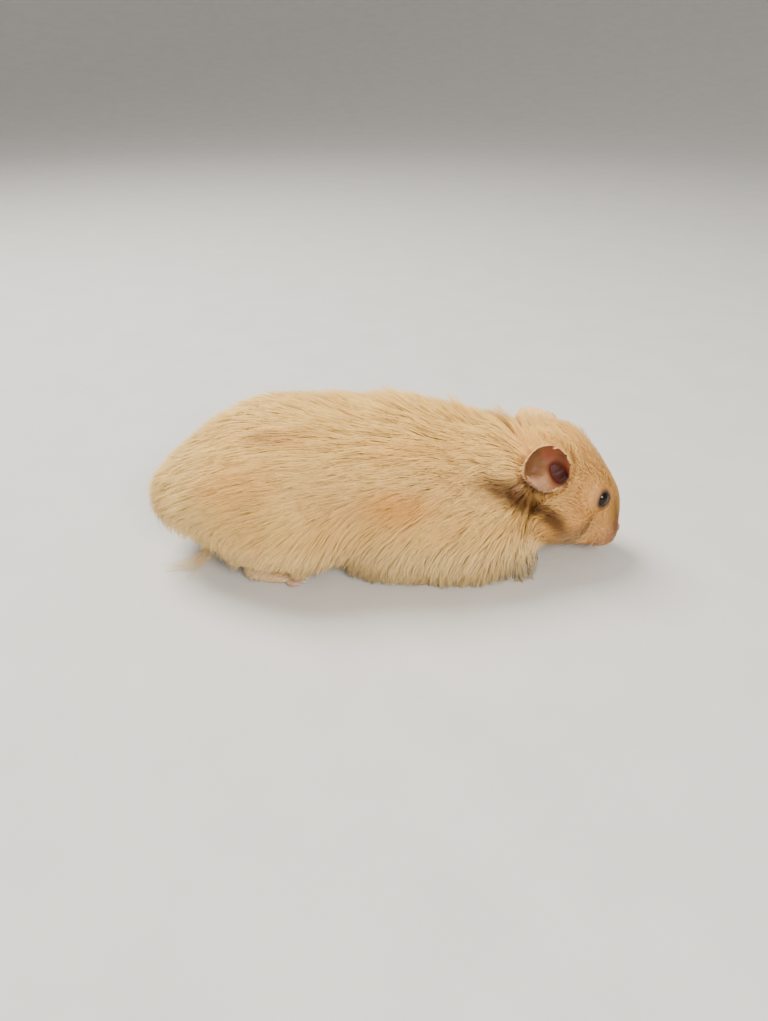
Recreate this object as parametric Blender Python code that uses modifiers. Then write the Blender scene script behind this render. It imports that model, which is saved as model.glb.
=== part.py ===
"""A life-size, long-haired Syrian hamster, creeping low over the floor with its nose down.

The solids are the animal's outline out to the tips of its coat. Its soft body is one smooth
surface, blended from a list of named ellipsoids, and thin cuts part it into head, neck, trunk
and legs. Ears, eyes, nose, tail and feet are pieces of their own, each in a socket.
Metres, +X towards the nose, +Y to the animal's left, +Z up, with the floor at Z = 0.
"""

import math

import bmesh
import bpy
import numpy as np
from mathutils import Matrix, Vector

MM = 0.001

# ---------------------------------------------------------------- driving dimensions (mm)
GAP = 0.3                       # between two nodes that meet
HEAD_ORIGIN = (65.6, 0, 23.0)   # midway between the eyes
HEAD_PITCH = 28                 # degrees, nose down
HEAD_ROLL = 4                   # degrees, right side up
EYE_RADIUS = 2.9
EYE_PLACE = (-0.8, 8.4, 0.3)     # the left eye, in the head's frame
EAR_PLACE = (-22.5, 16.4, 1.6)  # middle of the left ear's rim, in the head's frame
EAR_FACES = (-0.05, 0.8, 0.5)    # the way its hollow opens, in the head's frame
EAR_RADII = (8.7, 8.3, 4.6)
EAR_WALL = 1.0
FAR_EAR_RAISED = 3.0            # the left ear is pricked a little higher than the right
NOSE_PLACE = (14.2, 0, -8.4)
NOSE_RADII = (2.0, 2.5, 1.8)
TAIL_ROOT = (-59, 0, 13)
TAIL_TIP = (-69, 0, 11)
TAIL_RADII = (2.8, 1.5)

# How finely each soft solid is first made (mm), and how many triangles it keeps.
BODY_VOXEL, BODY_TRIANGLES = 1.6, 1700
FOOT_VOXEL, HIND_FOOT_TRIANGLES, FORE_FOOT_TRIANGLES = 0.35, 370, 290

# The body's masses: name, centre, radii, pitch (degrees, front end down), and how widely
# each blends into the ones before it. A sided mass is given for the left and mirrored.
TRUNK_MASSES = [
    ("hips", (-31, 0, 27), (30, 30, 26), 0, 0),
    ("rump", (-52.5, 0, 23.5), (22.8, 23.5, 14.8), -8, 12),
    ("ribs", (3, 0, 26.3), (34, 29.3, 25.3), 3, 12),
    ("nape", (32, 0, 27.3), (20, 22, 19.3), 8, 10),
    ("breast", (30, 0, 15.3), (22, 19, 16), 0, 8),
]
SIDED_TRUNK_MASSES = [
    ("haunch", (-31, 15.5, 20), (19, 15.5, 18.8), 0, 8),
    ("flank", (6, 14, 14), (19, 12, 15), 0, 8),
    ("shoulder", (24, 13.5, 15.8), (18, 13.5, 17), 0, 8),
    ("forearm", (40, 10, 10.3), (10.5, 8.5, 9.5), 0, 6),
]
HEAD_MASSES = [
    ("skull", (-15, 0, 0.5), (17, 16, 14.5), 0, 8),
    ("brow", (-2, 0, -1.5), (11, 9.5, 8.5), 10, 7),
    ("muzzle", (4, 0, -7.2), (11.8, 8.6, 8.4), 30, 6),
    ("jaw", (-4, 0, -14.5), (14.5, 9.5, 6.5), 0, 5),
]
SIDED_HEAD_MASSES = [
    ("cheek", (-9, 9.5, -10), (11.5, 8.8, 11), 10, 5),
    ("whisker_pad", (9.3, 3.4, -11), (5.2, 4.4, 4.6), 15, 3),
]

# The left legs' cutters: centre and radii of the ellipsoid that parts each from the trunk.
FORE_LEG_CUT = ((32, 18, 9), (19, 13, 17))
HIND_LEG_CUT = ((-31, 21, 15), (18, 14, 18))
LEG_SPLAY = 7                   # degrees outwards

# Planes that part head from neck and neck from trunk: a point, and the way they face.
HEAD_CUT = ((43.5, 0, 28), (0.95, 0, 0.31))
NECK_CUT = ((31, 0, 30), (0.93, 0, 0.37))

# Feet: the middle of the sole, heading (degrees outwards), and the lead of the left foot,
# which is half a pace ahead of the right one.
HIND_FOOT_PLACE = (-34.5, 18.4)
FORE_FOOT_PLACE = (34.0, 12.5)
HIND_FOOT_HEADING = 6
FORE_FOOT_HEADING = 8
LEFT_FOOT_LEAD = 4.0

FUR = ("fur", (0.68, 0.50, 0.31), 0.85)
SKIN = ("bare_skin", (0.62, 0.40, 0.33), 0.6)
EYE = ("eye", (0.02, 0.014, 0.01), 0.06)


# ---------------------------------------------------------------- frames
def head_matrix(extra_pitch=0.0):
    """The head's axes as columns: forward, left, up."""
    nod = Matrix.Rotation(math.radians(HEAD_PITCH), 3, "Y")
    tilt = Matrix.Rotation(math.radians(-HEAD_ROLL), 3, "X")
    return nod @ tilt @ Matrix.Rotation(math.radians(extra_pitch), 3, "Y")


def head_point(forward, left, up):
    """A point given from between the eyes, in the head's frame, as a point of the animal."""
    return Vector(HEAD_ORIGIN) + head_matrix() @ Vector((forward, left, up))


def facing(direction, upward=(0, 0, 1)):
    """Axes whose third column looks along direction, and whose first leans upward."""
    third = Vector(direction).normalized()
    second = third.cross(Vector(upward)).normalized()
    return Matrix((second.cross(third), second, third)).transposed()


# ---------------------------------------------------------------- smooth unions
def mass(centre, radii, axes, blend):
    """One ellipsoid of a smooth union, turned from millimetres into metres."""
    return (
        np.array(centre) * MM,
        np.array(radii) * MM,
        np.array(axes),
        blend * MM,
    )


def body_masses():
    found = []
    for _, centre, radii, pitch, blend in TRUNK_MASSES:
        axes = Matrix.Rotation(math.radians(pitch), 3, "Y")
        found.append(mass(centre, radii, axes, blend))
    for _, centre, radii, pitch, blend in SIDED_TRUNK_MASSES:
        axes = Matrix.Rotation(math.radians(pitch), 3, "Y")
        for side in (1, -1):
            place = (centre[0], side * centre[1], centre[2])
            found.append(mass(place, radii, axes, blend))
    for _, centre, radii, pitch, blend in HEAD_MASSES:
        found.append(mass(head_point(*centre), radii, head_matrix(pitch), blend))
    for _, centre, radii, pitch, blend in SIDED_HEAD_MASSES:
        for side in (1, -1):
            place = head_point(centre[0], side * centre[1], centre[2])
            found.append(mass(place, radii, head_matrix(pitch), blend))
    return found


def distance(points, masses):
    """Roughly how far each point is outside the smooth union of the masses."""
    total = None
    for centre, radii, axes, blend in masses:
        local = (points - centre) @ axes
        scaled = np.linalg.norm(local / radii, axis=1)
        steepness = np.maximum(np.linalg.norm(local / radii**2, axis=1), 1e-9)
        one = scaled * (scaled - 1) / steepness
        if total is None:
            total = one
            continue
        share = np.clip(0.5 + 0.5 * (total - one) / blend, 0, 1)
        total = total * (1 - share) + one * share - blend * share * (1 - share)
    return total


def settle(points, masses, level=0.0, rounds=4):
    """Moves points onto the surface that lies level metres outside the smooth union."""
    step = 1e-5
    for _ in range(rounds):
        here = distance(points, masses)
        slope = np.stack(
            [(distance(points + step * axis, masses) - here) / step for axis in np.eye(3)],
            axis=1,
        )
        size = np.maximum((slope**2).sum(axis=1), 0.05)
        points = points - ((here - level) / size)[:, None] * slope
    return points


def settle_mesh(mesh, masses, level):
    points = np.empty(len(mesh.vertices) * 3, np.float32)
    mesh.vertices.foreach_get("co", points)
    points = settle(points.reshape(-1, 3).astype(float), masses, level)
    mesh.vertices.foreach_set("co", points.ravel())
    mesh.update()


def applied(item, name):
    """The object's mesh with its modifiers applied; the object itself goes."""
    depsgraph = bpy.context.evaluated_depsgraph_get()
    mesh = bpy.data.meshes.new_from_object(item.evaluated_get(depsgraph))
    mesh.name = name
    bpy.data.objects.remove(item)
    return mesh


def soft_mesh(name, masses, voxel, triangles, level=0.0):
    """A closed mesh of the masses' smooth union, cut flat where it meets the floor."""
    rough = bmesh.new()
    for centre, radii, axes, _ in masses:
        place = Matrix.Translation(Vector(centre)) @ Matrix(axes.tolist()).to_4x4()
        size = Matrix.Diagonal((*(radii + level), 1.0))
        bmesh.ops.create_uvsphere(
            rough, u_segments=32, v_segments=20, radius=1.0, matrix=place @ size
        )
    mesh = bpy.data.meshes.new(name)
    rough.to_mesh(mesh)
    rough.free()
    item = bpy.data.objects.new(name, mesh)
    bpy.context.scene.collection.objects.link(item)
    remesh = item.modifiers.new("one_skin", "REMESH")
    remesh.mode = "VOXEL"
    remesh.voxel_size = voxel * MM
    mesh = applied(item, name)
    settle_mesh(mesh, masses, level)

    item = bpy.data.objects.new(name, mesh)
    bpy.context.scene.collection.objects.link(item)
    count = sum(len(face.vertices) - 2 for face in mesh.polygons)
    thin = item.modifiers.new("fewer_triangles", "DECIMATE")
    thin.ratio = triangles / count
    mesh = applied(item, name)
    settle_mesh(mesh, masses, level)

    whole = bmesh.new()
    whole.from_mesh(mesh)
    everything = whole.verts[:] + whole.edges[:] + whole.faces[:]
    bmesh.ops.bisect_plane(
        whole, geom=everything, plane_co=(0, 0, 0), plane_no=(0, 0, -1), clear_outer=True
    )
    rim = [edge for edge in whole.edges if edge.is_boundary]
    if rim:
        bmesh.ops.holes_fill(whole, edges=rim, sides=0)
    bmesh.ops.dissolve_degenerate(whole, dist=1e-5, edges=whole.edges[:])
    bmesh.ops.triangulate(whole, faces=whole.faces[:])
    bmesh.ops.recalc_face_normals(whole, faces=whole.faces[:])
    whole.to_mesh(mesh)
    whole.free()
    return mesh


# ---------------------------------------------------------------- feet
def foot_masses(place, heading, sole_radii, ankle, toes):
    """Sole, ankle, toes and claws of one foot, standing on the floor.

    ankle is (back, up, radii) from the middle of the sole. toes is a list of
    (sideways, angle, length, radius), each with a claw at its end.
    """
    turn = Matrix.Rotation(math.radians(heading), 3, "Z")
    origin = Vector((*place, 0))
    found = []

    def add(local, radii, pitch, yaw, blend):
        axes = turn @ Matrix.Rotation(yaw, 3, "Z") @ Matrix.Rotation(pitch, 3, "Y")
        found.append(mass(origin + turn @ Vector(local), radii, axes, blend))

    length, width, height = sole_radii
    add((0, 0, height * 0.85), sole_radii, 0, 0, 0)
    back, up, ankle_radii = ankle
    add((-back, 0, up), ankle_radii, math.radians(-25), 0, 2.0)
    for sideways, angle, reach, radius in toes:
        yaw = math.radians(angle)
        way = Vector((math.cos(yaw), math.sin(yaw), 0))
        root = Vector((length * 0.6, sideways, radius))
        middle = root + way * (reach * 0.5)
        add(middle, (reach * 0.6, radius, radius), math.radians(6), yaw, 0.8)
        pad = root + way * reach
        add(pad, (radius * 1.25, radius * 1.05, radius * 0.95), 0, yaw, 0.6)
        claw = pad + way * (radius * 1.7) + Vector((0, 0, radius * 0.25))
        add(claw, (radius * 1.3, 0.4, 0.4), math.radians(12), yaw, 0.35)
    return found


def hind_foot_masses(side):
    lead = LEFT_FOOT_LEAD if side > 0 else 0
    place = (HIND_FOOT_PLACE[0] + lead, side * HIND_FOOT_PLACE[1])
    toes = [
        (side * sideways, side * angle, reach, 0.95)
        for sideways, angle, reach in (
            (-2.3, -14, 2.0), (-1.2, -5, 3.3), (0.1, 0, 3.7), (1.4, 6, 3.3), (2.4, 18, 1.9)
        )
    ]
    ankle = (5.5, 4.2, (4.2, 2.7, 3.3))
    return foot_masses(place, side * HIND_FOOT_HEADING, (6.6, 3.0, 2.1), ankle, toes)


def fore_foot_masses(side):
    lead = LEFT_FOOT_LEAD if side > 0 else 0
    place = (FORE_FOOT_PLACE[0] + lead, side * FORE_FOOT_PLACE[1])
    toes = [
        (side * sideways, side * angle, reach, 0.8)
        for sideways, angle, reach in (
            (-1.6, -16, 1.9), (-0.5, -5, 2.6), (0.7, 6, 2.5), (1.7, 20, 1.7)
        )
    ]
    ankle = (2.2, 3.4, (2.6, 2.1, 2.8))
    return foot_masses(place, side * FORE_FOOT_HEADING, (3.4, 2.4, 1.7), ankle, toes)


def foot_rooms(masses):
    """Two ovals, as (centre, radii, axes), that clear a foot: its sole and toes, and its ankle."""
    (centre, radii, axes, _), (ankle, ankle_radii, ankle_axes, _) = masses[:2]
    forward = axes[:, 0] * radii[0] * 0.42
    return [
        (centre + forward, radii * (1.9, 1.75, 1.9), axes),
        (ankle, ankle_radii + 2 * GAP * MM, ankle_axes),
    ]


# ---------------------------------------------------------------- objects
def material(name, colour, roughness):
    found = bpy.data.materials.get(name)
    if found:
        return found
    made = bpy.data.materials.new(name)
    made.use_nodes = True
    shader = made.node_tree.nodes["Principled BSDF"]
    shader.inputs["Base Color"].default_value = (*colour, 1.0)
    shader.inputs["Roughness"].default_value = roughness
    shader.inputs["Metallic"].default_value = 0.0
    return made


def part(name, mesh, finish):
    """A named piece of the animal. Pieces cut from one mesh share its material."""
    item = bpy.data.objects.new(name, mesh)
    bpy.data.collections["syrian_hamster"].objects.link(item)
    if not mesh.materials:
        mesh.materials.append(material(*finish))
    mesh.shade_smooth()
    return item


def cutter(name, mesh):
    item = bpy.data.objects.new(name, mesh)
    bpy.data.collections["cutters"].objects.link(item)
    item.hide_render = True
    item.display_type = "WIRE"
    return item


def cut(item, tool, keep_inside=False):
    boolean = item.modifiers.new(tool.name, "BOOLEAN")
    boolean.operation = "INTERSECT" if keep_inside else "DIFFERENCE"
    boolean.solver = "EXACT"
    boolean.object = tool


def ellipsoid(name, centre, radii, axes=None, segments=20, rings=10):
    """A closed ellipsoid mesh, given in millimetres."""
    axes = (axes or Matrix.Identity(3)).to_4x4()
    place = Matrix.Translation(Vector(centre) * MM) @ axes
    made = bmesh.new()
    bmesh.ops.create_uvsphere(
        made,
        u_segments=segments,
        v_segments=rings,
        radius=1.0,
        matrix=place @ Matrix.Diagonal((*(Vector(radii) * MM), 1.0)),
    )
    mesh = bpy.data.meshes.new(name)
    made.to_mesh(mesh)
    made.free()
    return mesh


def half_space(name, plane, ahead):
    """A block that fills everything ahead of a plane, or everything behind it."""
    point, normal = plane
    side = 150 * MM
    along = 1 if ahead else -1
    shift = along * (side - GAP * MM) / 2
    axes = facing(normal, upward=(0, 1, 0))
    centre = Vector(point) * MM + Vector(normal).normalized() * shift
    made = bmesh.new()
    place = Matrix.Translation(centre) @ axes.to_4x4()
    bmesh.ops.create_cube(made, size=side, matrix=place)
    mesh = bpy.data.meshes.new(name)
    made.to_mesh(mesh)
    made.free()
    return cutter(name, mesh)


def leg_cutters(name, shape, side):
    """The ellipsoid that holds a leg, and the slightly larger one that clears it."""
    (x, y, z), radii = shape
    centre = (x, side * y, z)
    splay = Matrix.Rotation(math.radians(side * LEG_SPLAY), 3, "Z")
    made = []
    for use, clear in (("_space", 0), ("_clearance", GAP)):
        size = [radius + clear for radius in radii]
        made.append(cutter(name + use, ellipsoid(name + use, centre, size, splay, 16, 8)))
    return made


def ear(name, side):
    """A thin-walled cup, and the solid oval that its socket is cut with."""
    raised = FAR_EAR_RAISED if side > 0 else 0
    x, y, z = EAR_PLACE
    centre = head_point(x, side * y, z + raised)
    opens = head_matrix() @ Vector((EAR_FACES[0], side * EAR_FACES[1], EAR_FACES[2]))
    axes = facing(opens)
    item = part(name, ellipsoid(name, centre, EAR_RADII, axes), SKIN)
    inner = [radius - EAR_WALL for radius in EAR_RADII]
    mouth = centre + axes.col[2] * (EAR_WALL * 1.6)
    cut(item, cutter(name + "_hollow", ellipsoid(name + "_hollow", mouth, inner, axes, 16, 8)))
    grown = [radius + GAP for radius in EAR_RADII]
    socket = cutter(name + "_socket", ellipsoid(name + "_socket", centre, grown, axes))
    return item, socket


def ball(name, centre, radii, finish, axes=None):
    """A solid oval such as an eye, and the cutter for its socket."""
    item = part(name, ellipsoid(name, centre, radii, axes, 14, 8), finish)
    grown = [radius + GAP for radius in radii]
    socket = cutter(name + "_socket", ellipsoid(name + "_socket", centre, grown, axes, 14, 8))
    return item, socket


def tail():
    """The stub of a tail: a row of shrinking balls blended into one tapering solid."""
    count = 5
    masses = []
    for index in range(count):
        share = index / (count - 1)
        centre = Vector(TAIL_ROOT).lerp(Vector(TAIL_TIP), share)
        radius = TAIL_RADII[0] * (1 - share) + TAIL_RADII[1] * share
        masses.append(mass(centre, (radius * 1.3, radius, radius), Matrix.Identity(3), 1.5))
    item = part("tail", soft_mesh("tail", masses, 0.5, 110), FUR)
    socket = cutter("tail_socket", soft_mesh("tail_socket", masses, 0.5, 80, 2 * GAP * MM))
    return item, socket


def build():
    for item in list(bpy.data.objects):
        bpy.data.objects.remove(item)
    for name in ("syrian_hamster", "cutters"):
        bpy.context.scene.collection.children.link(bpy.data.collections.new(name))

    body = soft_mesh("body", body_masses(), BODY_VOXEL, BODY_TRIANGLES)
    head = part("head", body, FUR)
    neck = part("neck", body, FUR)
    trunk = part("trunk", body, FUR)
    cut(head, half_space("behind_head", HEAD_CUT, ahead=False))
    cut(neck, half_space("ahead_of_neck", HEAD_CUT, ahead=True))
    cut(neck, half_space("behind_neck", NECK_CUT, ahead=False))
    cut(trunk, half_space("ahead_of_trunk", NECK_CUT, ahead=True))

    for side, word in ((1, "left"), (-1, "right")):
        fore_leg = part("fore_leg_" + word, body, FUR)
        inside, outside = leg_cutters("fore_leg_" + word, FORE_LEG_CUT, side)
        cut(fore_leg, inside, keep_inside=True)
        for item in (head, neck, trunk):
            cut(item, outside)

        hind_leg = part("hind_leg_" + word, body, FUR)
        inside, outside = leg_cutters("hind_leg_" + word, HIND_LEG_CUT, side)
        cut(hind_leg, inside, keep_inside=True)
        cut(trunk, outside)

        for name, masses, triangles, around in (
            ("hind_foot_" + word, hind_foot_masses(side), HIND_FOOT_TRIANGLES, hind_leg),
            ("fore_foot_" + word, fore_foot_masses(side), FORE_FOOT_TRIANGLES, fore_leg),
        ):
            part(name, soft_mesh(name, masses, FOOT_VOXEL, triangles), SKIN)
            for index, (centre, radii, axes) in enumerate(foot_rooms(masses)):
                room = f"{name}_room_{index}"
                axes = Matrix(axes.tolist())
                mesh = ellipsoid(room, centre / MM, radii / MM, axes, 14, 8)
                socket = cutter(room, mesh)
                for item in (around, trunk, neck):
                    cut(item, socket)

        _, socket = ear("ear_" + word, side)
        for item in (head, neck):
            cut(item, socket)
        x, y, z = EYE_PLACE
        place = head_point(x, side * y, z)
        _, socket = ball("eye_" + word, place, [EYE_RADIUS] * 3, EYE)
        cut(head, socket)

    _, socket = ball("nose", head_point(*NOSE_PLACE), NOSE_RADII, SKIN, head_matrix(20))
    cut(head, socket)
    _, socket = tail()
    cut(trunk, socket)


build()
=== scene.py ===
"""The looks of a life-size, long-haired Syrian hamster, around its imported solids.

One skin stands for every node of flesh. It is blended from the same masses as the solids, each
smaller by the depth of its coat. Over it lie thin closed locks of hair, grown step by step
along the lie of the fur. Eyes, claws and whiskers are pieces of their own.
Metres, +X towards the nose, +Y to the animal's left, +Z up, with the floor at Z = 0.
"""

import math

import bmesh
import bpy
import numpy as np
from mathutils import Matrix, Vector
from mathutils.kdtree import KDTree

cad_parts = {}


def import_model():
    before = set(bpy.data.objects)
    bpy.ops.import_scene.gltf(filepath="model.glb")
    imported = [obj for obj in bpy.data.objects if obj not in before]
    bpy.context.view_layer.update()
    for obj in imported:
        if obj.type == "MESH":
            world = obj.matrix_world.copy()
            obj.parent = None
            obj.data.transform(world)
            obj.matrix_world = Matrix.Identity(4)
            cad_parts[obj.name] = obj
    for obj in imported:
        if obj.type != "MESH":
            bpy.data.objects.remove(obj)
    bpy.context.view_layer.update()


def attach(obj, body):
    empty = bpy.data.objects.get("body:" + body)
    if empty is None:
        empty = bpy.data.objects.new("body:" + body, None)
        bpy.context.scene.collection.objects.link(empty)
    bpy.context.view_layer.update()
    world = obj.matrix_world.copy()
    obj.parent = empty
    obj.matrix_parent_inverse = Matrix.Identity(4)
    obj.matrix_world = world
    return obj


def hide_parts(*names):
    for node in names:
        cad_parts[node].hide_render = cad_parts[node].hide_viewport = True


MM = 0.001
SIDES = ((1, "left"), (-1, "right"))

# ---------------------------------------------------------------- sizes shared with the solids (mm)
HEAD_ORIGIN = (65.6, 0, 23.0)   # midway between the eyes
HEAD_PITCH = 28                 # degrees, nose down
HEAD_ROLL = 4                   # degrees, right side up
EYE_RADIUS = 2.9
EYE_PLACE = (-0.8, 8.4, 0.3)    # the left eye, in the head's frame
EAR_PLACE = (-22.5, 16.4, 1.6)  # middle of the left ear's rim, in the head's frame
EAR_FACES = (-0.05, 0.8, 0.5)   # the way its hollow opens, in the head's frame
FAR_EAR_RAISED = 3.8            # the left ear is pricked a little higher than the right
NOSE_PLACE = (14.2, 0, -8.4)
NOSE_RADII = (2.0, 2.5, 1.8)
TAIL_ROOT = (-59, 0, 13)
TAIL_TIP = (-69, 0, 11)
TAIL_RADII = (2.8, 1.5)

# The body's masses: name, centre, radii, pitch (degrees, front end down), how widely each
# blends into the ones before it, and the depth of coat over it.
TRUNK_MASSES = [
    ("hips", (-31, 0, 27), (30, 30, 26), 0, 0, 6.0),
    ("rump", (-52.5, 0, 23.5), (22.8, 23.5, 14.8), -8, 12, 6.0),
    ("ribs", (3, 0, 26.3), (34, 29.3, 25.3), 3, 12, 6.0),
    ("nape", (32, 0, 27.3), (20, 22, 19.3), 8, 10, 5.0),
    ("breast", (30, 0, 15.3), (22, 19, 16), 0, 8, 5.5),
]
SIDED_TRUNK_MASSES = [
    ("haunch", (-31, 15.5, 20), (19, 15.5, 18.8), 0, 8, 5.5),
    ("flank", (6, 14, 14), (19, 12, 15), 0, 8, 5.5),
    ("shoulder", (24, 13.5, 15.8), (18, 13.5, 17), 0, 8, 5.0),
    ("forearm", (40, 10, 10.3), (10.5, 8.5, 9.5), 0, 6, 4.0),
]
HEAD_MASSES = [
    ("skull", (-15, 0, 0.5), (17, 16, 14.5), 0, 8, 3.2),
    ("brow", (-2, 0, -1.5), (11, 9.5, 8.5), 10, 7, 1.0),
    ("muzzle", (4, 0, -7.2), (11.8, 8.6, 8.4), 30, 6, 0.8),
    ("jaw", (-4, 0, -14.5), (14.5, 9.5, 6.5), 0, 5, 1.6),
]
SIDED_HEAD_MASSES = [
    ("cheek", (-9, 9.5, -10), (11.5, 8.8, 11), 10, 5, 2.4),
    ("whisker_pad", (9.3, 3.4, -11), (5.2, 4.4, 4.6), 15, 3, 0.6),
]

HIND_FOOT_PLACE = (-34.5, 18.4)
FORE_FOOT_PLACE = (34.0, 12.5)
HIND_FOOT_HEADING = 6           # degrees outwards
FORE_FOOT_HEADING = 8
LEFT_FOOT_LEAD = 4.0
# Each foot: radii of its sole; how far back and up its ankle is, with its radii; its toes'
# radius; and each toe's place to the side, its turn (degrees) and how far it reaches.
HIND_FOOT = (
    (6.6, 3.0, 2.1), (5.5, 4.2, (4.2, 2.7, 3.3)), 0.95,
    ((-2.3, -14, 2.0), (-1.2, -5, 3.3), (0.1, 0, 3.7), (1.4, 6, 3.3), (2.4, 18, 1.9)),
)
FORE_FOOT = (
    (3.4, 2.4, 1.7), (2.2, 3.4, (2.6, 2.1, 2.8)), 0.8,
    ((-1.6, -16, 1.9), (-0.5, -5, 2.6), (0.7, 6, 2.5), (1.7, 20, 1.7)),
)

# ---------------------------------------------------------------- sizes of the skin (mm)
SKIN_VOXEL = 0.65
FINE_FACE = -5                  # the finer skin starts this far ahead of the eyes
LID_THICKNESS = 0.42
LID_OPENING = (2.10, 2.50)      # half its width and half its height
LID_REACH = 3.9                 # how far from the eye's middle the lids go
EYE_SLANT = -14                 # degrees its opening leans back from the head's own up
EYE_LOOKS = (0.42, 0.90, 0.22)  # the way the left eye looks out, in the head's frame
EAR_RIM = (7.9, 7.0)            # forward and upward radii of the ear's rim
EAR_SHIFT = (0.9, 2.2)          # its hollow lies this far forward and up from EAR_PLACE
EAR_DEPTH = 6.0
EAR_THICKNESS = 0.95
EAR_HOLE = ((5.7, -0.3, -4.6), (1.5, 3.6, 3.2))  # forward, up and out from EAR_PLACE; radii
EAR_HOLE_TILT = 18              # degrees its top leans back
# Soft spots on an ear: forward and up from the hollow's middle, and the spread each way.
EAR_LOBE = (-4.3, -4.3, 4.3, 3.2)
EAR_RIDGE = (-0.6, -2.0, 2.0, 2.6)
EAR_NOTCH = (-4.6, -0.6, 2.6, 1.1)

# Hollows pressed into the face: centre and radii in the head's frame, pitch, and blend.
FACE_HOLLOWS = [
    ((16.2, 0.95, -9.0), (0.7, 0.42, 0.55), 20, 0.3),     # nostrils
    ((16.2, -0.95, -9.0), (0.7, 0.42, 0.55), 20, 0.3),
    ((14.0, 0, -11.7), (2.2, 0.28, 2.2), 20, 0.4),        # cleft of the upper lip
    ((9.5, 2.6, -14.9), (4.6, 2.8, 0.32), 24, 0.4),       # mouth
    ((9.5, -2.6, -14.9), (4.6, 2.8, 0.32), 24, 0.4),
]

# ---------------------------------------------------------------- sizes of the coat (mm)
RIND = 0.15                     # the least height of a hair over the floor
RISE = 0.7                      # how early a hair climbs out to its own layer
LOWEST = 0.02                   # no corner of a hair is lower than this
BAKE_PATCH = 0.003              # side of a hair's patch on the OFBake map, from 0 to 1
# Length of hair against the distance ahead of the eyes.
LENGTH_AHEAD = (-44, -32, -24, -16, -8, 0, 6, 13)
LENGTHS = (13.5, 11.5, 9.0, 6.0, 3.8, 2.5, 1.7, 1.1)
FINE_LOCK, SMALL_LOCK, LARGE_LOCK = 1.1, 1.9, 6.0
LONG_STEPS, SHORT_STEPS = 8, 4  # how many steps a hair grows in
# Where along a hair its rings are, and its width there.
LONG_RINGS, LONG_TAPER = (0, 0.27, 0.52, 0.78, 1.0), (0.8, 1.0, 0.9, 0.6, 0.0)
SHORT_RINGS, SHORT_TAPER = (0, 0.5, 1.0), (0.9, 0.9, 0.0)
LONG_DENSITY = 3.8              # locks to a square mm of skin
SHORT_DENSITY = 9.0             # fine hairs to a square mm of the muzzle
FOOT_DENSITY, EAR_BACK_DENSITY, LOBE_DENSITY = 5.0, 10.0, 8.0
COAT_SEED, WHISKER_SEED, WISP_SEED = 11, 5, 9
WHISKER_ROWS = 4                # on each side, with as many whiskers in each
WISP_LOCKS, WISP_HAIRS = 7, 5   # locks on each side, and hairs in each
WISP_ROOT = (-56, 10.5, 6.5)
HEM = 7.0                       # the coat's lower edge over a hind foot
PARTING = 7                     # the hair turns outward over this width each side of the back
# The body's own unwrap: where it starts, how long it is and how high its middle line is.
UNWRAP_FROM, UNWRAP_LENGTH, UNWRAP_HEIGHT = -80, 160, 22
ROUND_OF_FACE = 12              # radius that short hair bends round
# Where one stretch of coat ends and the next begins, along the body.
COAT_BANDS = (-46, -26, -6, 14, 31, 48)
COAT_NAMES = ("rump", "haunch", "loin", "ribs", "shoulder", "nape", "face")


def tone(red, green, blue):
    """A colour given as it looks on a screen, from 0 to 255, as linear values."""
    values = np.array((red, green, blue)) / 255
    return np.where(values < 0.04045, values / 12.92, ((values + 0.055) / 1.055) ** 2.4)


CREAM_BACK = tone(255, 205, 116)
CREAM_SIDE = tone(255, 203, 120)
CREAM_LOW = tone(255, 216, 148)
BELLY = tone(246, 226, 190)
RUMP_PALE = tone(255, 214, 138)
FACE = tone(232, 174, 98)
MUZZLE = tone(198, 142, 108)
APRICOT = tone(236, 162, 74)
TAN = tone(196, 148, 84)
BROWN = tone(104, 66, 28)
DUSK = tone(196, 156, 114)
# painted shade: the lower cheek darkened where shade falls under the head
JOWL_SHADE = tone(178, 136, 92)
PINK = tone(196, 146, 130)
# the feet's pink skin, darkened with painted shade
FOOT_PINK_AND_SHADE = tone(196, 160, 144)
EAR_HAIR = tone(250, 204, 140)
# painted shade: a darker copy of the ear's hair colour, laid along its rim
EAR_EDGE_SHADE = EAR_HAIR * 0.62
EAR_INSIDE = tone(150, 96, 60)
EAR_LOBE_PALE = tone(192, 144, 110)
NOSE_PINK = tone(204, 146, 126)
# painted shade: the dark inside the nostrils and the cleft of the upper lip
NOSTRIL_SHADE = tone(112, 62, 50)
LIP = tone(176, 112, 96)
WHISKER = tone(232, 206, 166)
DARKEST, PALEST = 0.004, 0.95   # no hair's colour goes past these

# Inside an ear: colour, strength, and the spot it covers. These are the ear's own colours, with
# painted shade where the hollow falls into shade.
EAR_COLOURS_AND_SHADE = [
    # painted shade: the upper back wall of the hollow, where shade falls, as dark brown
    (tone(112, 72, 38), 1.6, (-3.6, 2.8, 4.8, 4.0)),
    (tone(132, 62, 36), 0.9, (2.2, 4.0, 1.8, 2.2)),
    (tone(110, 56, 32), 0.8, (5.6, 2.6, 2.4, 2.6)),
    # painted shade low in the front of the hollow
    (tone(124, 72, 44), 0.8, (3.6, -5.0, 3.0, 2.2)),
    (EAR_LOBE_PALE, 1.3, (-4.0, -4.8, 4.0, 2.6)),
    (tone(190, 140, 100), 0.8, (-0.4, -2.4, 2.0, 2.4)),
]
# Round the ear canal, and round an eye: colour, strength, and where it starts and ends to fade.
# Round the ear canal the colour is painted shade, deepening into the canal over its reddish skin.
PIT_SHADE_RINGS = [
    (tone(122, 62, 36), 1.0, 0.4, 2.8),
    (tone(84, 26, 12), 1.0, 0.2, 1.9),
    (tone(46, 8, 4), 1.0, -0.1, 0.5),
]
LID_RINGS = [
    (tone(196, 140, 84), 0.8, 1.35, 1.8),
    (tone(104, 66, 38), 1.0, 1.12, 1.5),
    (tone(40, 24, 16), 1.0, 1.0, 1.14),
]

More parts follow.
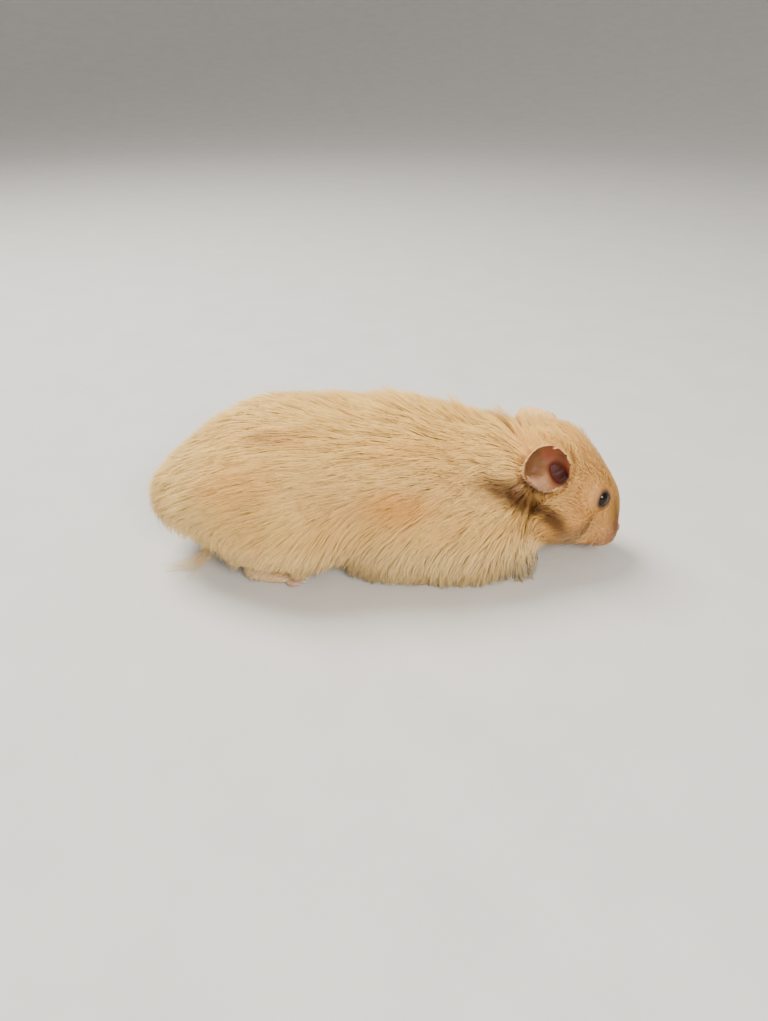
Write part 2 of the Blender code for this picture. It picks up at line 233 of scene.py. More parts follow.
# Each finish: how rough, how shiny, whether its pieces' own tint shows, and the patterns laid
# over one another. A pattern: its noise (how fine, detail and stretch, where not the usual), and
# a dark and a pale colour, each after the noise's value there.
FINISHES = {
    "fur": (0.62, 0.28, True, [
        ((95,), 0.32, (0.93, 0.91, 0.88), 0.68, (1.05, 1.04, 1.03)),
        ((900,), 0.3, (0.93, 0.92, 0.90), 0.7, (1.05, 1.05, 1.05)),
    ]),
    "skin": (0.52, 0.4, True, [((420, 4), 0.3, (0.88, 0.83, 0.80), 0.7, (1.06, 1.04, 1.03))]),
    "eye": (0.04, 0.22, False, [((1500,), 0.3, (0.006, 0.004, 0.003), 0.75, (0.022, 0.012, 0.007))]),
    "claw": (0.3, 0.5, False, [
        ((700, 3, (1, 4, 4)), 0.3, (0.62, 0.42, 0.33), 0.7, (0.86, 0.70, 0.58)),
    ]),
    "whisker": (0.35, 0.5, True, [((300,), 0.3, (0.85, 0.82, 0.78), 0.7, (1, 1, 1))]),
    "floor": (0.75, 0.2, False, [((40,), 0.3, (0.66, 0.65, 0.63), 0.7, (0.70, 0.69, 0.67))]),
}

# ---------------------------------------------------------------- the studio (metres)
CAMERA_PLACE = (-0.0010, -0.2138, 0.1437)
CAMERA_DOWN = 31.2              # degrees
LENS = 27.15                    # mm, on a sensor 36 mm wide
LIT_POINT = (0, 0, 0.02)
SKY_COLOUR, SKY_STRENGTH = (1.0, 0.97, 0.93, 1), 0.5
# Name, place, size, power (W) and colour.
LIGHTS = [
    ("window", (-0.35, 0.25, 0.75), 0.5, 12.8, (1.0, 0.96, 0.89)),
    ("front", (0.3, -0.75, 0.55), 0.42, 10.5, (1.0, 0.96, 0.88)),
]

# ---------------------------------------------------------------- markings and standing locks
# Markings on the right side, the same on the left: centre, radii, colour and strength. One of them
# is painted shade under the jowl.
MARKINGS = [
    ("rump_pale", (-62, -14, 26), (16, 20, 20), RUMP_PALE, 0.7),
    ("haunch_warm", (-44, -24, 36), (14, 8, 7), APRICOT, 0.36),
    ("tan_streak", (-33, -16, 48), (11, 4, 2.4), TAN, 0.8),
    ("loin_grey", (-14, -26, 33), (10, 9, 6), DUSK, 0.14),
    ("flank_apricot", (4, -29, 31.5), (12, 8, 6), APRICOT, 0.7),
    ("saddle_warm", (6, -17, 44), (16, 6, 4), APRICOT, 0.25),
    ("nape_warm", (40, -9, 44), (8, 6, 4), APRICOT, 0.22),
    ("shoulder_warm", (20, -24, 38), (8, 5, 3), APRICOT, 0.3),
    ("stripe_start", (27.5, -21.7, 35.6), (4.2, 8, 2.8), BROWN, 0.5),
    ("stripe_high", (32.3, -21.7, 34.0), (4.2, 8, 3.1), BROWN, 0.85),
    ("stripe_middle", (36.2, -21.2, 31.8), (4.4, 8, 3.4), BROWN, 1.0),
    ("stripe_bend", (39.0, -20.6, 29.6), (3.8, 8, 3.2), BROWN, 1.0),
    ("stripe_low", (41.8, -19.9, 27.2), (3.8, 8, 3.2), BROWN, 1.0),
    ("stripe_end", (45, -18.4, 24.6), (3.6, 8, 2.8), BROWN, 1.0),
    ("cheek_patch", (48.6, -18.5, 22.4), (3.0, 6, 3.6), BROWN, 1.0),
    ("cheek_patch_middle", (51.3, -18.9, 20.0), (2.8, 6, 3.6), BROWN, 0.95),
    ("cheek_patch_low", (53.4, -18.9, 16.2), (2.8, 6, 3.8), BROWN, 0.75),
    ("ear_foot_pale", (42.0, -18.4, 33.6), (5.4, 6, 2.4), EAR_LOBE_PALE, 0.8),
    ("under_stripe", (44, -20, 19), (4, 5, 2.5), BROWN, 0.25),
    # painted shade under the jowl, where the lower cheek falls into shade
    ("jowl_shade", (58, -14, 13.5), (9, 7, 5.5), JOWL_SHADE, 0.9),
    ("cheek_rim", (60, -15, 22), (5, 6, 6), APRICOT, 0.15),
    ("lid_shade", (66.2, -11, 24.6), (3.6, 4, 4.2), TAN, 0.6),
]

# Locks that stand out of the outline: where they root, how far around, and how far they rise.
STANDING_LOCKS = [
    ((-3, 2, 48), 4.0, 1.2),
    ((8, -1, 47), 6.0, 3.8),
    ((17, 0, 45), 4.0, 2.4),
    ((26, 1, 43), 3.5, 2.6),
    ((29, 0, 42), 2.6, 6.5),
    ((33, 1, 41), 3.0, 3.0),
    ((42, 3, 39), 4.0, 3.4),
    ((47, 4, 42), 5.0, 4.0),
    ((-40, 0, 46), 6.0, 1.4),
    ((-56, -8, 36), 6.0, 1.6),
]


# ---------------------------------------------------------------- frames
def head_matrix(extra_pitch=0.0):
    """The head's axes as columns: forward, left, up."""
    nod = Matrix.Rotation(math.radians(HEAD_PITCH), 3, "Y")
    tilt = Matrix.Rotation(math.radians(-HEAD_ROLL), 3, "X")
    return nod @ tilt @ Matrix.Rotation(math.radians(extra_pitch), 3, "Y")


def head_point(forward, left, up):
    """A point given from between the eyes, in the head's frame, as a point of the animal."""
    return Vector(HEAD_ORIGIN) + head_matrix() @ Vector((forward, left, up))


def in_head(points):
    """Points of the animal, in metres, as (forward, left, up) millimetres from the eyes."""
    return (points / MM - np.array(HEAD_ORIGIN)) @ np.array(head_matrix())


def ahead_of_eyes(points):
    """How far ahead of the eyes (mm) points of the head are; the chest below counts as behind."""
    forward, _, up = in_head(points).T
    return forward - 2.5 * np.maximum(-up - 16, 0)


def facing(direction, upward=(0, 0, 1)):
    """Axes whose third column looks along direction, and whose first leans upward."""
    third = Vector(direction).normalized()
    second = third.cross(Vector(upward)).normalized()
    return Matrix((second.cross(third), second, third)).transposed()


def smooth(values, low, high):
    """0 below low, 1 above high, and an even bend between."""
    share = np.clip((values - low) / (high - low), 0, 1)
    return share * share * (3 - 2 * share)


def unit(vectors):
    return vectors / np.maximum(np.linalg.norm(vectors, axis=-1, keepdims=True), 1e-12)


# ---------------------------------------------------------------- the form as distances
def mass(centre, radii, axes, blend):
    """One ellipsoid of a smooth union, turned from millimetres into metres."""
    return (np.array(centre) * MM, np.array(radii) * MM, np.array(axes), blend * MM)


def masses_of(rows, sides, bare, place, axes_at):
    """Each row's mass as it stands on every one of the sides given."""
    found = []
    for _, (x, y, z), radii, pitch, blend, coat in rows:
        for side in sides:
            size = np.array(radii) - coat * bare
            found.append(mass(place(x, side * y, z), size, axes_at(pitch), blend))
    return found


def body_masses(bare):
    """The masses out to the coat's tips, where bare is 0, or in to the skin, where it is 1."""
    def as_given(x, y, z):
        return (x, y, z)

    def pitched(angle):
        return Matrix.Rotation(math.radians(angle), 3, "Y")

    return (
        masses_of(TRUNK_MASSES, (1,), bare, as_given, pitched)
        + masses_of(SIDED_TRUNK_MASSES, (1, -1), bare, as_given, pitched)
        + masses_of(HEAD_MASSES, (1,), bare, head_point, head_matrix)
        + masses_of(SIDED_HEAD_MASSES, (1, -1), bare, head_point, head_matrix)
    )


def tail_masses():
    """Balls in a row, each smaller than the one before."""
    count = 5
    found = []
    for index in range(count):
        share = index / (count - 1)
        centre = Vector(TAIL_ROOT).lerp(Vector(TAIL_TIP), share)
        radius = TAIL_RADII[0] * (1 - share) + TAIL_RADII[1] * share
        found.append(mass(centre, (radius * 1.3, radius, radius), np.eye(3), 1.5))
    return found


def foot_masses(side, place, heading, shape):
    """Sole, ankle and toes of one foot, and where each claw grows: (place, way, size)."""
    sole_radii, ankle, radius, toes = shape
    turn = Matrix.Rotation(math.radians(side * heading), 3, "Z")
    lead = LEFT_FOOT_LEAD if side > 0 else 0
    origin = Vector((place[0] + lead, side * place[1], 0))
    found = []
    claws = []

    def add(local, radii, pitch, yaw, blend):
        axes = turn @ Matrix.Rotation(yaw, 3, "Z") @ Matrix.Rotation(pitch, 3, "Y")
        found.append(mass(origin + turn @ Vector(local), radii, axes, blend))

    length, _, height = sole_radii
    add((0, 0, height * 0.85), sole_radii, 0, 0, 0)
    back, up, ankle_radii = ankle
    add((-back, 0, up), ankle_radii, math.radians(-25), 0, 2.0)
    for sideways, angle, reach in toes:
        yaw = math.radians(side * angle)
        way = Vector((math.cos(yaw), math.sin(yaw), 0))
        root = Vector((length * 0.6, side * sideways, radius))
        add(root + way * (reach * 0.5), (reach * 0.6, radius, radius), math.radians(6), yaw, 0.8)
        pad = root + way * reach
        add(pad, (radius * 1.25, radius * 1.05, radius * 0.95), 0, yaw, 0.6)
        claw = pad + way * (radius * 0.8) + Vector((0, 0, radius * 0.45))
        claws.append((origin + turn @ claw, turn @ way, radius))
    return found, claws


def feet():
    """Each foot's masses and claws, by name."""
    found = {}
    for side, word in SIDES:
        hind = foot_masses(side, HIND_FOOT_PLACE, HIND_FOOT_HEADING, HIND_FOOT)
        found["hind_" + word] = hind
        found["fore_" + word] = foot_masses(side, FORE_FOOT_PLACE, FORE_FOOT_HEADING, FORE_FOOT)
    return found


def ellipsoid_distance(points, centre, radii, axes):
    """Roughly how far each point is outside an ellipsoid."""
    local = (points - centre) @ axes
    scaled = np.linalg.norm(local / radii, axis=1)
    steepness = np.maximum(np.linalg.norm(local / radii**2, axis=1), 1e-9)
    return scaled * (scaled - 1) / steepness


def joined(first, second, blend):
    """The smooth union of two distances."""
    share = np.clip(0.5 + 0.5 * (first - second) / blend, 0, 1)
    return first * (1 - share) + second * share - blend * share * (1 - share)


def carved(first, hollow, blend):
    """The first distance with the inside of the hollow taken away."""
    return -joined(-first, hollow, blend)


def union_distance(points, masses, total=None):
    """Roughly how far each point is outside the smooth union of the masses."""
    for centre, radii, axes, blend in masses:
        one = ellipsoid_distance(points, centre, radii, axes)
        total = one if total is None else joined(total, one, blend)
    return total


COAT_MASSES = body_masses(bare=0)
SKIN_MASSES = body_masses(bare=1)
NOSE = mass(head_point(*NOSE_PLACE), NOSE_RADII, head_matrix(20), 1.2)
DENTS = [
    mass(head_point(*centre), radii, head_matrix(pitch), blend)
    for centre, radii, pitch, blend in FACE_HOLLOWS
]
TAIL = tail_masses()
FEET = feet()


def coat_distance(points):
    """Distance outside the surface that the coat's tips fill."""
    return union_distance(points, COAT_MASSES)


def eye_frame(side):
    """Middle of an eye, and its axes, the third of which looks out."""
    x, y, z = EYE_PLACE
    centre = np.array(head_point(x, side * y, z)) * MM
    looks = head_matrix() @ Vector((EYE_LOOKS[0], side * EYE_LOOKS[1], EYE_LOOKS[2]))
    return centre, np.array(facing(looks, head_matrix(EYE_SLANT).col[2]))


def beside_eye(points, side):
    """Distance from the eye's middle (mm), and that across its opening in opening widths."""
    centre, axes = eye_frame(side)
    local = (points - centre) @ axes / MM
    opening = np.hypot(local[:, 1] / LID_OPENING[0], local[:, 0] / LID_OPENING[1])
    return np.linalg.norm(local, axis=1), np.where(local[:, 2] > 0, opening, 9)


def ear_frame(side):
    """Middle of the rim, and the axes forward, up and out of the ear's hollow."""
    x, y, z = EAR_PLACE
    raised = FAR_EAR_RAISED if side > 0 else 0
    centre = np.array(head_point(x, side * y, z + raised)) * MM
    opens = head_matrix() @ Vector((EAR_FACES[0], side * EAR_FACES[1], EAR_FACES[2]))
    axes = np.array(facing(opens))
    return centre, np.stack((side * axes[:, 1], axes[:, 0], axes[:, 2]), axis=1)


def in_ear(points, side):
    """Points as (forward, up, out) millimetres from the middle of the ear's rim."""
    centre, axes = ear_frame(side)
    return (points - centre) @ axes / MM


def spot(ahead, above, at_ahead, at_above, wide, high):
    """A soft spot on an ear: 1 at its middle, fading over its width and height."""
    return np.exp(-(((ahead - at_ahead) / wide) ** 2) - ((above - at_above) / high) ** 2)


def ear_bowl(forward, up):
    """How far out the ear's sheet stands (mm), and how near its rim that is, from 0 to 1."""
    ahead = forward - EAR_SHIFT[0]
    above = up - EAR_SHIFT[1]
    reach = np.hypot(ahead / EAR_RIM[0], above / EAR_RIM[1])
    # The rim is drawn out behind and below, where the ear ends in a lobe.
    toward = (-0.78 * ahead - 0.62 * above) / np.maximum(np.hypot(ahead, above), 1e-6)
    reach = reach / (1 + 0.34 * np.clip(toward, 0, 1) ** 2.5)
    out = -EAR_DEPTH + EAR_DEPTH * (0.34 * reach**2 + 0.70 * reach**6)
    # The rim stands further out behind and above, and lies down in front.
    out = out - 0.16 * ahead * reach + 0.05 * above * reach
    # The lower back of the ear folds out into a soft lobe, with a ridge rising ahead of it.
    out = out + 3.8 * spot(ahead, above, *EAR_LOBE) * (1.15 - 0.4 * reach)
    out = out + 1.7 * spot(ahead, above, *EAR_RIDGE)
    return out - 0.8 * spot(ahead, above, *EAR_NOTCH), reach


def beside_bowl(points, side):
    """How far out each point is (mm), how far out the ear's sheet is there, and its reach."""
    forward, up, out = in_ear(points, side).T
    sheet, reach = ear_bowl(forward, up)
    return out, sheet, reach


def ear_pit(forward, up, out):
    """Distance outside the ear canal's mouth (mm)."""
    place, size = EAR_HOLE
    tilt = np.array(Matrix.Rotation(math.radians(EAR_HOLE_TILT), 3, "Z"))
    local = np.stack((forward, up, out), axis=1)
    return ellipsoid_distance(local, np.array(place), np.array(size), tilt)


def ear_added(total, points, side):
    """The distance total with an ear's thin wall and its hollow worked in (all in mm)."""
    forward, up, out = in_ear(points, side).T
    sheet, reach = ear_bowl(forward, up)
    slope = 2 * EAR_DEPTH * np.minimum(reach, 1) / EAR_RIM[0]
    height = (out - sheet) / np.sqrt(1 + slope**2)
    disc = (reach - 1) * EAR_RIM[0]
    hollow = np.maximum(disc, -height)
    wall = carved(np.abs(height) - EAR_THICKNESS / 2, -disc, 0.7)
    head = carved(total, hollow, 0.3)
    return carved(joined(head, wall, 0.9), ear_pit(forward, up, out), 1.5)


def skin_distance(points):
    """Distance outside the bare skin, with its feet, tail, nose, ears, lids and mouth."""
    total = union_distance(points, SKIN_MASSES)

    def near(centre, reach):
        """Which of the points are within reach (mm) of a centre."""
        return np.flatnonzero(((points - centre) ** 2).sum(axis=1) < (reach * MM) ** 2)

    for masses, _ in FEET.values():
        some = near(masses[0][0], 16)
        total[some] = joined(total[some], union_distance(points[some], masses), 1.5 * MM)
    some = near(TAIL[0][0], 18)
    total[some] = joined(total[some], union_distance(points[some], TAIL), 2 * MM)
    some = near(NOSE[0], 9)
    total[some] = union_distance(points[some], [NOSE], total[some])
    for place, size, axes, soft in DENTS:
        hollow = ellipsoid_distance(points[some], place, size, axes)
        total[some] = carved(total[some], hollow, soft)
    for side, _ in SIDES:
        centre, _ = eye_frame(side)
        some = near(centre, 7)
        lid = np.linalg.norm(points[some] - centre, axis=1) - (EYE_RADIUS + LID_THICKNESS) * MM
        total[some] = joined(total[some], lid, 2 * MM)
        some = near(ear_frame(side)[0], 14)
        total[some] = ear_added(total[some] / MM, points[some], side) * MM
    return total


def slope_of(points, field, here):
    """The way each point's distance grows fastest, and how fast."""
    step = 1e-5
    return np.stack([(field(points + step * axis) - here) / step for axis in np.eye(3)], axis=1)


def settle(points, field, rounds):
    """Moves points onto the surface where the field is nought."""
    for _ in range(rounds):
        here = field(points)
        slope = slope_of(points, field, here)
        size = np.maximum((slope**2).sum(axis=1), 0.25)
        move = (here / size)[:, None] * slope
        length = np.linalg.norm(move, axis=1, keepdims=True)
        points = points - move * np.minimum(1, 1.5 * MM / np.maximum(length, 1e-9))
    return points


# ---------------------------------------------------------------- colours
def lay(colour, patch, share):
    """Lays a patch over colours, as thickly as its share of each, from 0 to 1."""
    colour += (patch - colour) * share[:, None]


def fur_colour(points):
    """The coat's colour at points of the animal: cream, warmer and darker in its markings, with
    painted shade under the jowl.
    """
    height = points[:, 2] / MM
    forward, _, up = in_head(points).T
    colour = np.broadcast_to(CREAM_LOW, points.shape).copy()
    lay(colour, CREAM_SIDE, smooth(height, 8, 24))
    lay(colour, CREAM_BACK, smooth(height, 36, 50))
    lay(colour, BELLY, 1 - smooth(height + np.abs(points[:, 1]) / MM, 14, 26))
    lay(colour, FACE, smooth(ahead_of_eyes(points), -26, -8))
    lay(colour, MUZZLE, 0.8 * smooth(forward + 0.35 * np.minimum(-up, 12), 8, 15))
    right = points / MM
    right[:, 1] = -np.abs(right[:, 1])
    for _, centre, radii, patch, strength in MARKINGS:
        away = np.linalg.norm((right - centre) / radii, axis=1)
        lay(colour, patch, (1 - smooth(away, 0.35, 1.35)) * strength)
    return colour


def ear_colour(points, side):
    """The bare ear's colour, with painted shade in its hollow, its canal and along its rim, and how
    far each point belongs to the ear.
    """
    forward, up, out = in_ear(points, side).T
    sheet, reach = ear_bowl(forward, up)
    behind = 1 - smooth(sheet - out, 2.5, 5.0)
    before = 1 - smooth(out - sheet, 1.2, 2.4)
    belongs = (1 - smooth(reach, 1.05, 1.2)) * np.where(out < sheet, behind, before)
    inner = smooth(out - sheet, -0.3, 0.15)
    colour = np.broadcast_to(EAR_HAIR, (len(points), 3)).copy()
    lay(colour, EAR_INSIDE, inner)
    # the ear's own colours, with painted shade on the upper back wall and low in front
    for patch, strength, place in EAR_COLOURS_AND_SHADE:
        here = spot(forward - EAR_SHIFT[0], up - EAR_SHIFT[1], *place)
        lay(colour, patch, inner * np.minimum(1, strength * here))
    pit = ear_pit(forward, up, out)
    # painted shade, deepening into the ear canal over its reddish skin
    for patch, strength, full, gone in PIT_SHADE_RINGS:
        lay(colour, patch, strength * (1 - smooth(pit, full, gone)) * (out < 0))
    # painted shade along the ear's rim
    lay(colour, EAR_EDGE_SHADE, smooth(reach, 0.96, 1.02) * 0.7)
    return colour, np.maximum(belongs, 1 - smooth(pit, 0.3, 0.9))


def skin_colour(points):
    """The bare skin where it shows, with painted shade on the feet, in the nostrils and in the ears,
    and the coat's own colour, deepened, under the coat.
    """
    colour = fur_colour(points) * 0.9
    forward, left, up = in_head(points).T
    nose = ellipsoid_distance(points, *NOSE[:3]) / MM
    tip = (1 - smooth(nose, -0.1, 0.4)) * (1 - smooth(np.abs(left), 1.2, 2.1))
    lay(colour, NOSE_PINK, 0.8 * tip)
    # painted shade in the nostrils and the cleft of the upper lip
    for dent in DENTS[:3]:
        inside = 1 - smooth(ellipsoid_distance(points, *dent[:3]) / MM, 0.1, 0.4)
        lay(colour, NOSTRIL_SHADE, 0.85 * inside)
    lips = 1 - smooth(np.abs(up + 14.6 + 0.42 * (forward - 9.5)), 0.3, 1.0)
    lay(colour, LIP, lips * smooth(forward, 5, 8) * 0.8)
    for side, _ in SIDES:
        away, opening = beside_eye(points, side)
        for patch, strength, full, gone in LID_RINGS:
            lay(colour, patch, strength * (1 - smooth(opening, full, gone)) * (away < LID_REACH))
        lay(colour, *ear_colour(points, side))
    for masses, _ in FEET.values():
        foot = 1 - smooth(union_distance(points, masses) / MM, 0.15, 0.9)
        # the feet's pink skin, darkened with painted shade
        lay(colour, FOOT_PINK_AND_SHADE, foot)
        toes = smooth((points - masses[0][0]) @ masses[0][2][:, 0] / MM, 3.5, 6.5)
        lay(colour, PINK, foot * toes * 0.6)
    return colour


# ---------------------------------------------------------------- meshes
def link(name, mesh):
    item = bpy.data.objects.new(name, mesh)
    bpy.context.scene.collection.objects.link(item)
    return item


def mesh_points(mesh):
    points = np.empty(len(mesh.vertices) * 3, np.float32)
    mesh.vertices.foreach_get("co", points)
    return points.reshape(-1, 3).astype(float)


def paint(mesh, colours):
    """Writes a colour to every vertex."""
    layer = mesh.color_attributes.new("tint", "FLOAT_COLOR", "POINT")
    values = np.ones((len(colours), 4), np.float32)
    values[:, :3] = colours
    layer.data.foreach_set("color", values.ravel())


def ear_sheet(side):
    """Points and faces of a closed thin bowl, which the skin is wrapped round."""
    centre, axes = ear_frame(side)
    rings, spokes = 14, 40
    angles = 2 * np.pi * np.arange(spokes) / spokes
    reach = 0.97 * np.arange(1, rings + 1)[:, None] / rings
    forward = EAR_SHIFT[0] + np.append(0, EAR_RIM[0] * reach * np.cos(angles))
    up = EAR_SHIFT[1] + np.append(0, EAR_RIM[1] * reach * np.sin(angles))
    out, _ = ear_bowl(forward, up)
    layers = [
        centre + np.stack((forward, up, out + offset), axis=1) @ axes.T * MM
        for offset in (EAR_THICKNESS * 0.8, -EAR_THICKNESS * 0.8)
    ]
    faces = []
    back = rings * spokes + 1
    for spoke in range(spokes):
        following = (spoke + 1) % spokes
        sheet = [[0, 1 + spoke, 1 + following]]
        for ring in range(rings - 1):
            low, high = 1 + ring * spokes, 1 + (ring + 1) * spokes
            sheet.append([low + spoke, high + spoke, high + following, low + following])
        faces += sheet
        faces += [[corner + back for corner in face[::-1]] for face in sheet]
        rim = 1 + (rings - 1) * spokes
        faces.append([rim + following, rim + spoke, rim + back + spoke, rim + back + following])
    if side > 0:
        faces = [face[::-1] for face in faces]
    return np.concatenate(layers), faces


def unit_sphere():
    """Points and faces of a ball of radius 1."""
    made = bmesh.new()
    bmesh.ops.create_uvsphere(made, u_segments=32, v_segments=20, radius=1.0)
    points = np.array([vertex.co for vertex in made.verts])
    faces = [[vertex.index for vertex in face.verts] for face in made.faces]
    made.free()
    return points, faces


def wrapped(masses, sheets):
    """One closed mesh, of even small faces, round all the masses and sheets."""
    ball, ball_faces = unit_sphere()
    points, faces, count = [], [], 0
    shapes = [(centre + (ball * radii) @ np.array(axes).T, ball_faces)
              for centre, radii, axes, _ in masses]
    for some, their_faces in shapes + sheets:
        points.append(some)
        faces += [[corner + count for corner in face] for face in their_faces]
        count += len(some)
    mesh = bpy.data.meshes.new("rough_skin")
    mesh.from_pydata(np.concatenate(points), [], faces)
    item = link("rough_skin", mesh)
    remesh = item.modifiers.new("one_skin", "REMESH")
    remesh.mode = "VOXEL"
    remesh.voxel_size = SKIN_VOXEL * MM
    depsgraph = bpy.context.evaluated_depsgraph_get()
    mesh = bpy.data.meshes.new_from_object(item.evaluated_get(depsgraph))
    bpy.data.objects.remove(item)
    return mesh


def refine_face(mesh):
    """Halves the faces of the front of the head, with its lids, nose and mouth, and the ears."""
    fine = bmesh.new()
    fine.from_mesh(mesh)
    points = mesh_points(mesh)
    chosen = in_head(points)[:, 0] > FINE_FACE
    for side, _ in SIDES:
        out, sheet, reach = beside_bowl(points, side)
        chosen |= (reach < 1.2) & (np.abs(out - sheet) < 3)
    edges = [
        edge for edge in fine.edges
        if chosen[edge.verts[0].index] and chosen[edge.verts[1].index]
    ]
    bmesh.ops.subdivide_edges(fine, edges=edges, cuts=1, use_grid_fill=True)
    fine.to_mesh(mesh)
    fine.free()


def evened(points, mesh, rounds):
    """Points drawn towards the middle of their neighbours, which evens out the mesh."""
    edges = np.empty(len(mesh.edges) * 2, np.int32)
    mesh.edges.foreach_get("vertices", edges)
    first, second = edges.reshape(-1, 2).T
    count = np.bincount(edges, minlength=len(points))[:, None]
    for _ in range(rounds):
        total = np.zeros_like(points)
        for axis in range(3):
            total[:, axis] += np.bincount(first, points[second, axis], len(points))
            total[:, axis] += np.bincount(second, points[first, axis], len(points))
        points = points + 0.5 * (total / np.maximum(count, 1) - points)
    return points


def open_lids(points):
    """Sinks the skin inside each eyeball within its lids' opening, and lifts the lids over it."""
    for side, _ in SIDES:
        centre, _ = eye_frame(side)
        away, opening = beside_eye(points, side)
        lid = EYE_RADIUS * 0.9 + (EYE_RADIUS * 0.1 + LID_THICKNESS) * smooth(opening, 0.86, 1.22)
        lid = lid + 0.12 * np.exp(-(((opening - 1.25) / 0.22) ** 2))
        wanted = np.where(opening < 1.25, lid, np.maximum(away, lid))
        close = (opening < 2.2) & (away < EYE_RADIUS + 2)
        from_eye = points - centre
        moved = centre + from_eye / np.maximum(away, 1e-6)[:, None] * wanted[:, None]
        points = np.where(close[:, None], moved, points)
    return points


def skin_mesh():
    """The masses wrapped in one fine mesh, which is then drawn onto the skin's true surface."""
    masses = SKIN_MASSES + TAIL + [NOSE]
    for foot, _ in FEET.values():
        masses = masses + foot
    for side, _ in SIDES:
        centre, axes = eye_frame(side)
        masses.append((centre, np.full(3, (EYE_RADIUS + LID_THICKNESS) * MM), axes, 0))
    mesh = wrapped(masses, [ear_sheet(side) for side, _ in SIDES])
    mesh.name = "skin"
    refine_face(mesh)
    points = settle(mesh_points(mesh), skin_distance, 4)
    points = settle(evened(points, mesh, 4), skin_distance, 2)
    points = settle(evened(points, mesh, 2), skin_distance, 1)
    points = open_lids(points)
    points[:, 2] = np.maximum(points[:, 2], 0)
    mesh.vertices.foreach_set("co", points.astype(np.float32).ravel())
    mesh.update()
    mesh.shade_smooth()
    paint(mesh, skin_colour(points))
    return mesh


def ridge_mesh(name, paths, widths, depths, colours, normals, roots, soften):
    """Many thin closed three-sided hairs in one mesh, each running out to a point.

    paths holds every hair's middle line, from root to tip. Each hair has its own small patch of
    the map OFBake, at its root's place on the skin's own unwrap.
    """
    count, rings, _ = paths.shape
    body = rings - 1
    ahead = unit(np.gradient(paths, axis=1))
    across = unit(np.cross(ahead, normals))
    above = np.cross(across, ahead)
    corners = np.array([(-0.5, -0.33), (0.5, -0.33), (0.0, 0.67)])
    sideways = corners[:, 0][None, None, :, None] * widths[:, :body, None, None]
    upward = corners[:, 1][None, None, :, None] * depths[:, :body, None, None]
    offset = across[:, :body, None] * sideways + above[:, :body, None] * upward
    tube = paths[:, :body, None] + offset
    per_hair = body * 3 + 1
    vertices = np.concatenate((tube.reshape(count, body * 3, 3), paths[:, -1:]), axis=1)
    vertices[:, :, 2] = np.maximum(vertices[:, :, 2], LOWEST * MM)

    true = unit(offset).reshape(count, body * 3, 3)
    true = np.concatenate((true, above[:, -1:]), axis=1)
    ring_of = np.append(np.repeat(np.arange(body), 3), rings - 1)
    shade = unit(true * (1 - soften) + normals[:, ring_of] * soften)
    tint = colours[:, ring_of]

    # Faces of one hair: quads along its three sides, three at its tip, one closing its root.
    quads, tips = [], []
    for ring in range(body - 1):
        for corner in range(3):
            following = (corner + 1) % 3
            low, high = ring * 3, ring * 3 + 3
            quads.append((low + corner, high + corner, high + following, low + following))
    last = (body - 1) * 3
    for corner in range(3):
        tips.append((last + corner, body * 3, last + (corner + 1) % 3))
    tips.append((0, 1, 2))
    quads, tips = np.array(quads), np.array(tips)
    along = np.append(np.repeat(np.linspace(0, 0.86, body), 3), 1.0)

    def flat(faces):
        """Where each corner of these faces lies in the hair's patch, from 0 to 1."""
        places = []
        for face in faces:
            side = face[0] % 3
            spots = []
            for corner in face:
                if corner == body * 3:
                    spots.append(((side + 0.5) / 3, 1.0))
                else:
                    spots.append(((side + (corner % 3 != side)) / 3, along[corner]))
            if max(face) < 3:
                spots = [(0.1, 0.0), (0.5, 0.0), (0.3, 0.012)]
            places.append(spots)
        return np.array(places)

    first = np.arange(count)[:, None, None] * per_hair
    quad_corners = (first + quads[None]).reshape(count, -1)
    tip_corners = (first + tips[None]).reshape(count, -1)
    loops = np.concatenate((quad_corners, tip_corners), axis=1).ravel()
    totals = np.tile(np.append(np.full(len(quads), 4), np.full(len(tips), 3)), count)
    patch = np.concatenate((flat(quads).reshape(-1, 2), flat(tips).reshape(-1, 2)))
    places = roots[:, None, :] + patch[None] * BAKE_PATCH

    mesh = bpy.data.meshes.new(name)
    mesh.vertices.add(count * per_hair)
    mesh.vertices.foreach_set("co", vertices.astype(np.float32).ravel())
    mesh.loops.add(len(loops))
    mesh.loops.foreach_set("vertex_index", loops.astype(np.int32))
    mesh.polygons.add(len(totals))
    starts = np.concatenate(([0], np.cumsum(totals)[:-1]))
    mesh.polygons.foreach_set("loop_start", starts.astype(np.int32))
    mesh.update(calc_edges=True)
    mesh.validate()
    layer = mesh.uv_layers.new(name="OFBake")
    layer.data.foreach_set("uv", places.astype(np.float32).ravel())
    paint(mesh, tint.reshape(-1, 3))
    mesh.shade_smooth()
    mesh.normals_split_custom_set_from_vertices(shade.reshape(-1, 3).tolist())
    return mesh


# ---------------------------------------------------------------- the lie and length of the coat
def beside_ear(points, side):
    """How many rims' widths each point is from the ear's middle, its place, and the way out."""
    local = in_ear(points, side)
    from_middle = local[:, :2] - EAR_SHIFT
    reach = np.hypot(from_middle[:, 0] / EAR_RIM[0], from_middle[:, 1] / EAR_RIM[1])
    close = np.abs(local[:, 2]) < 14
    _, axes = ear_frame(side)
    outward = unit(from_middle) @ axes[:, :2].T
    return np.where(close, reach, 9), local, outward


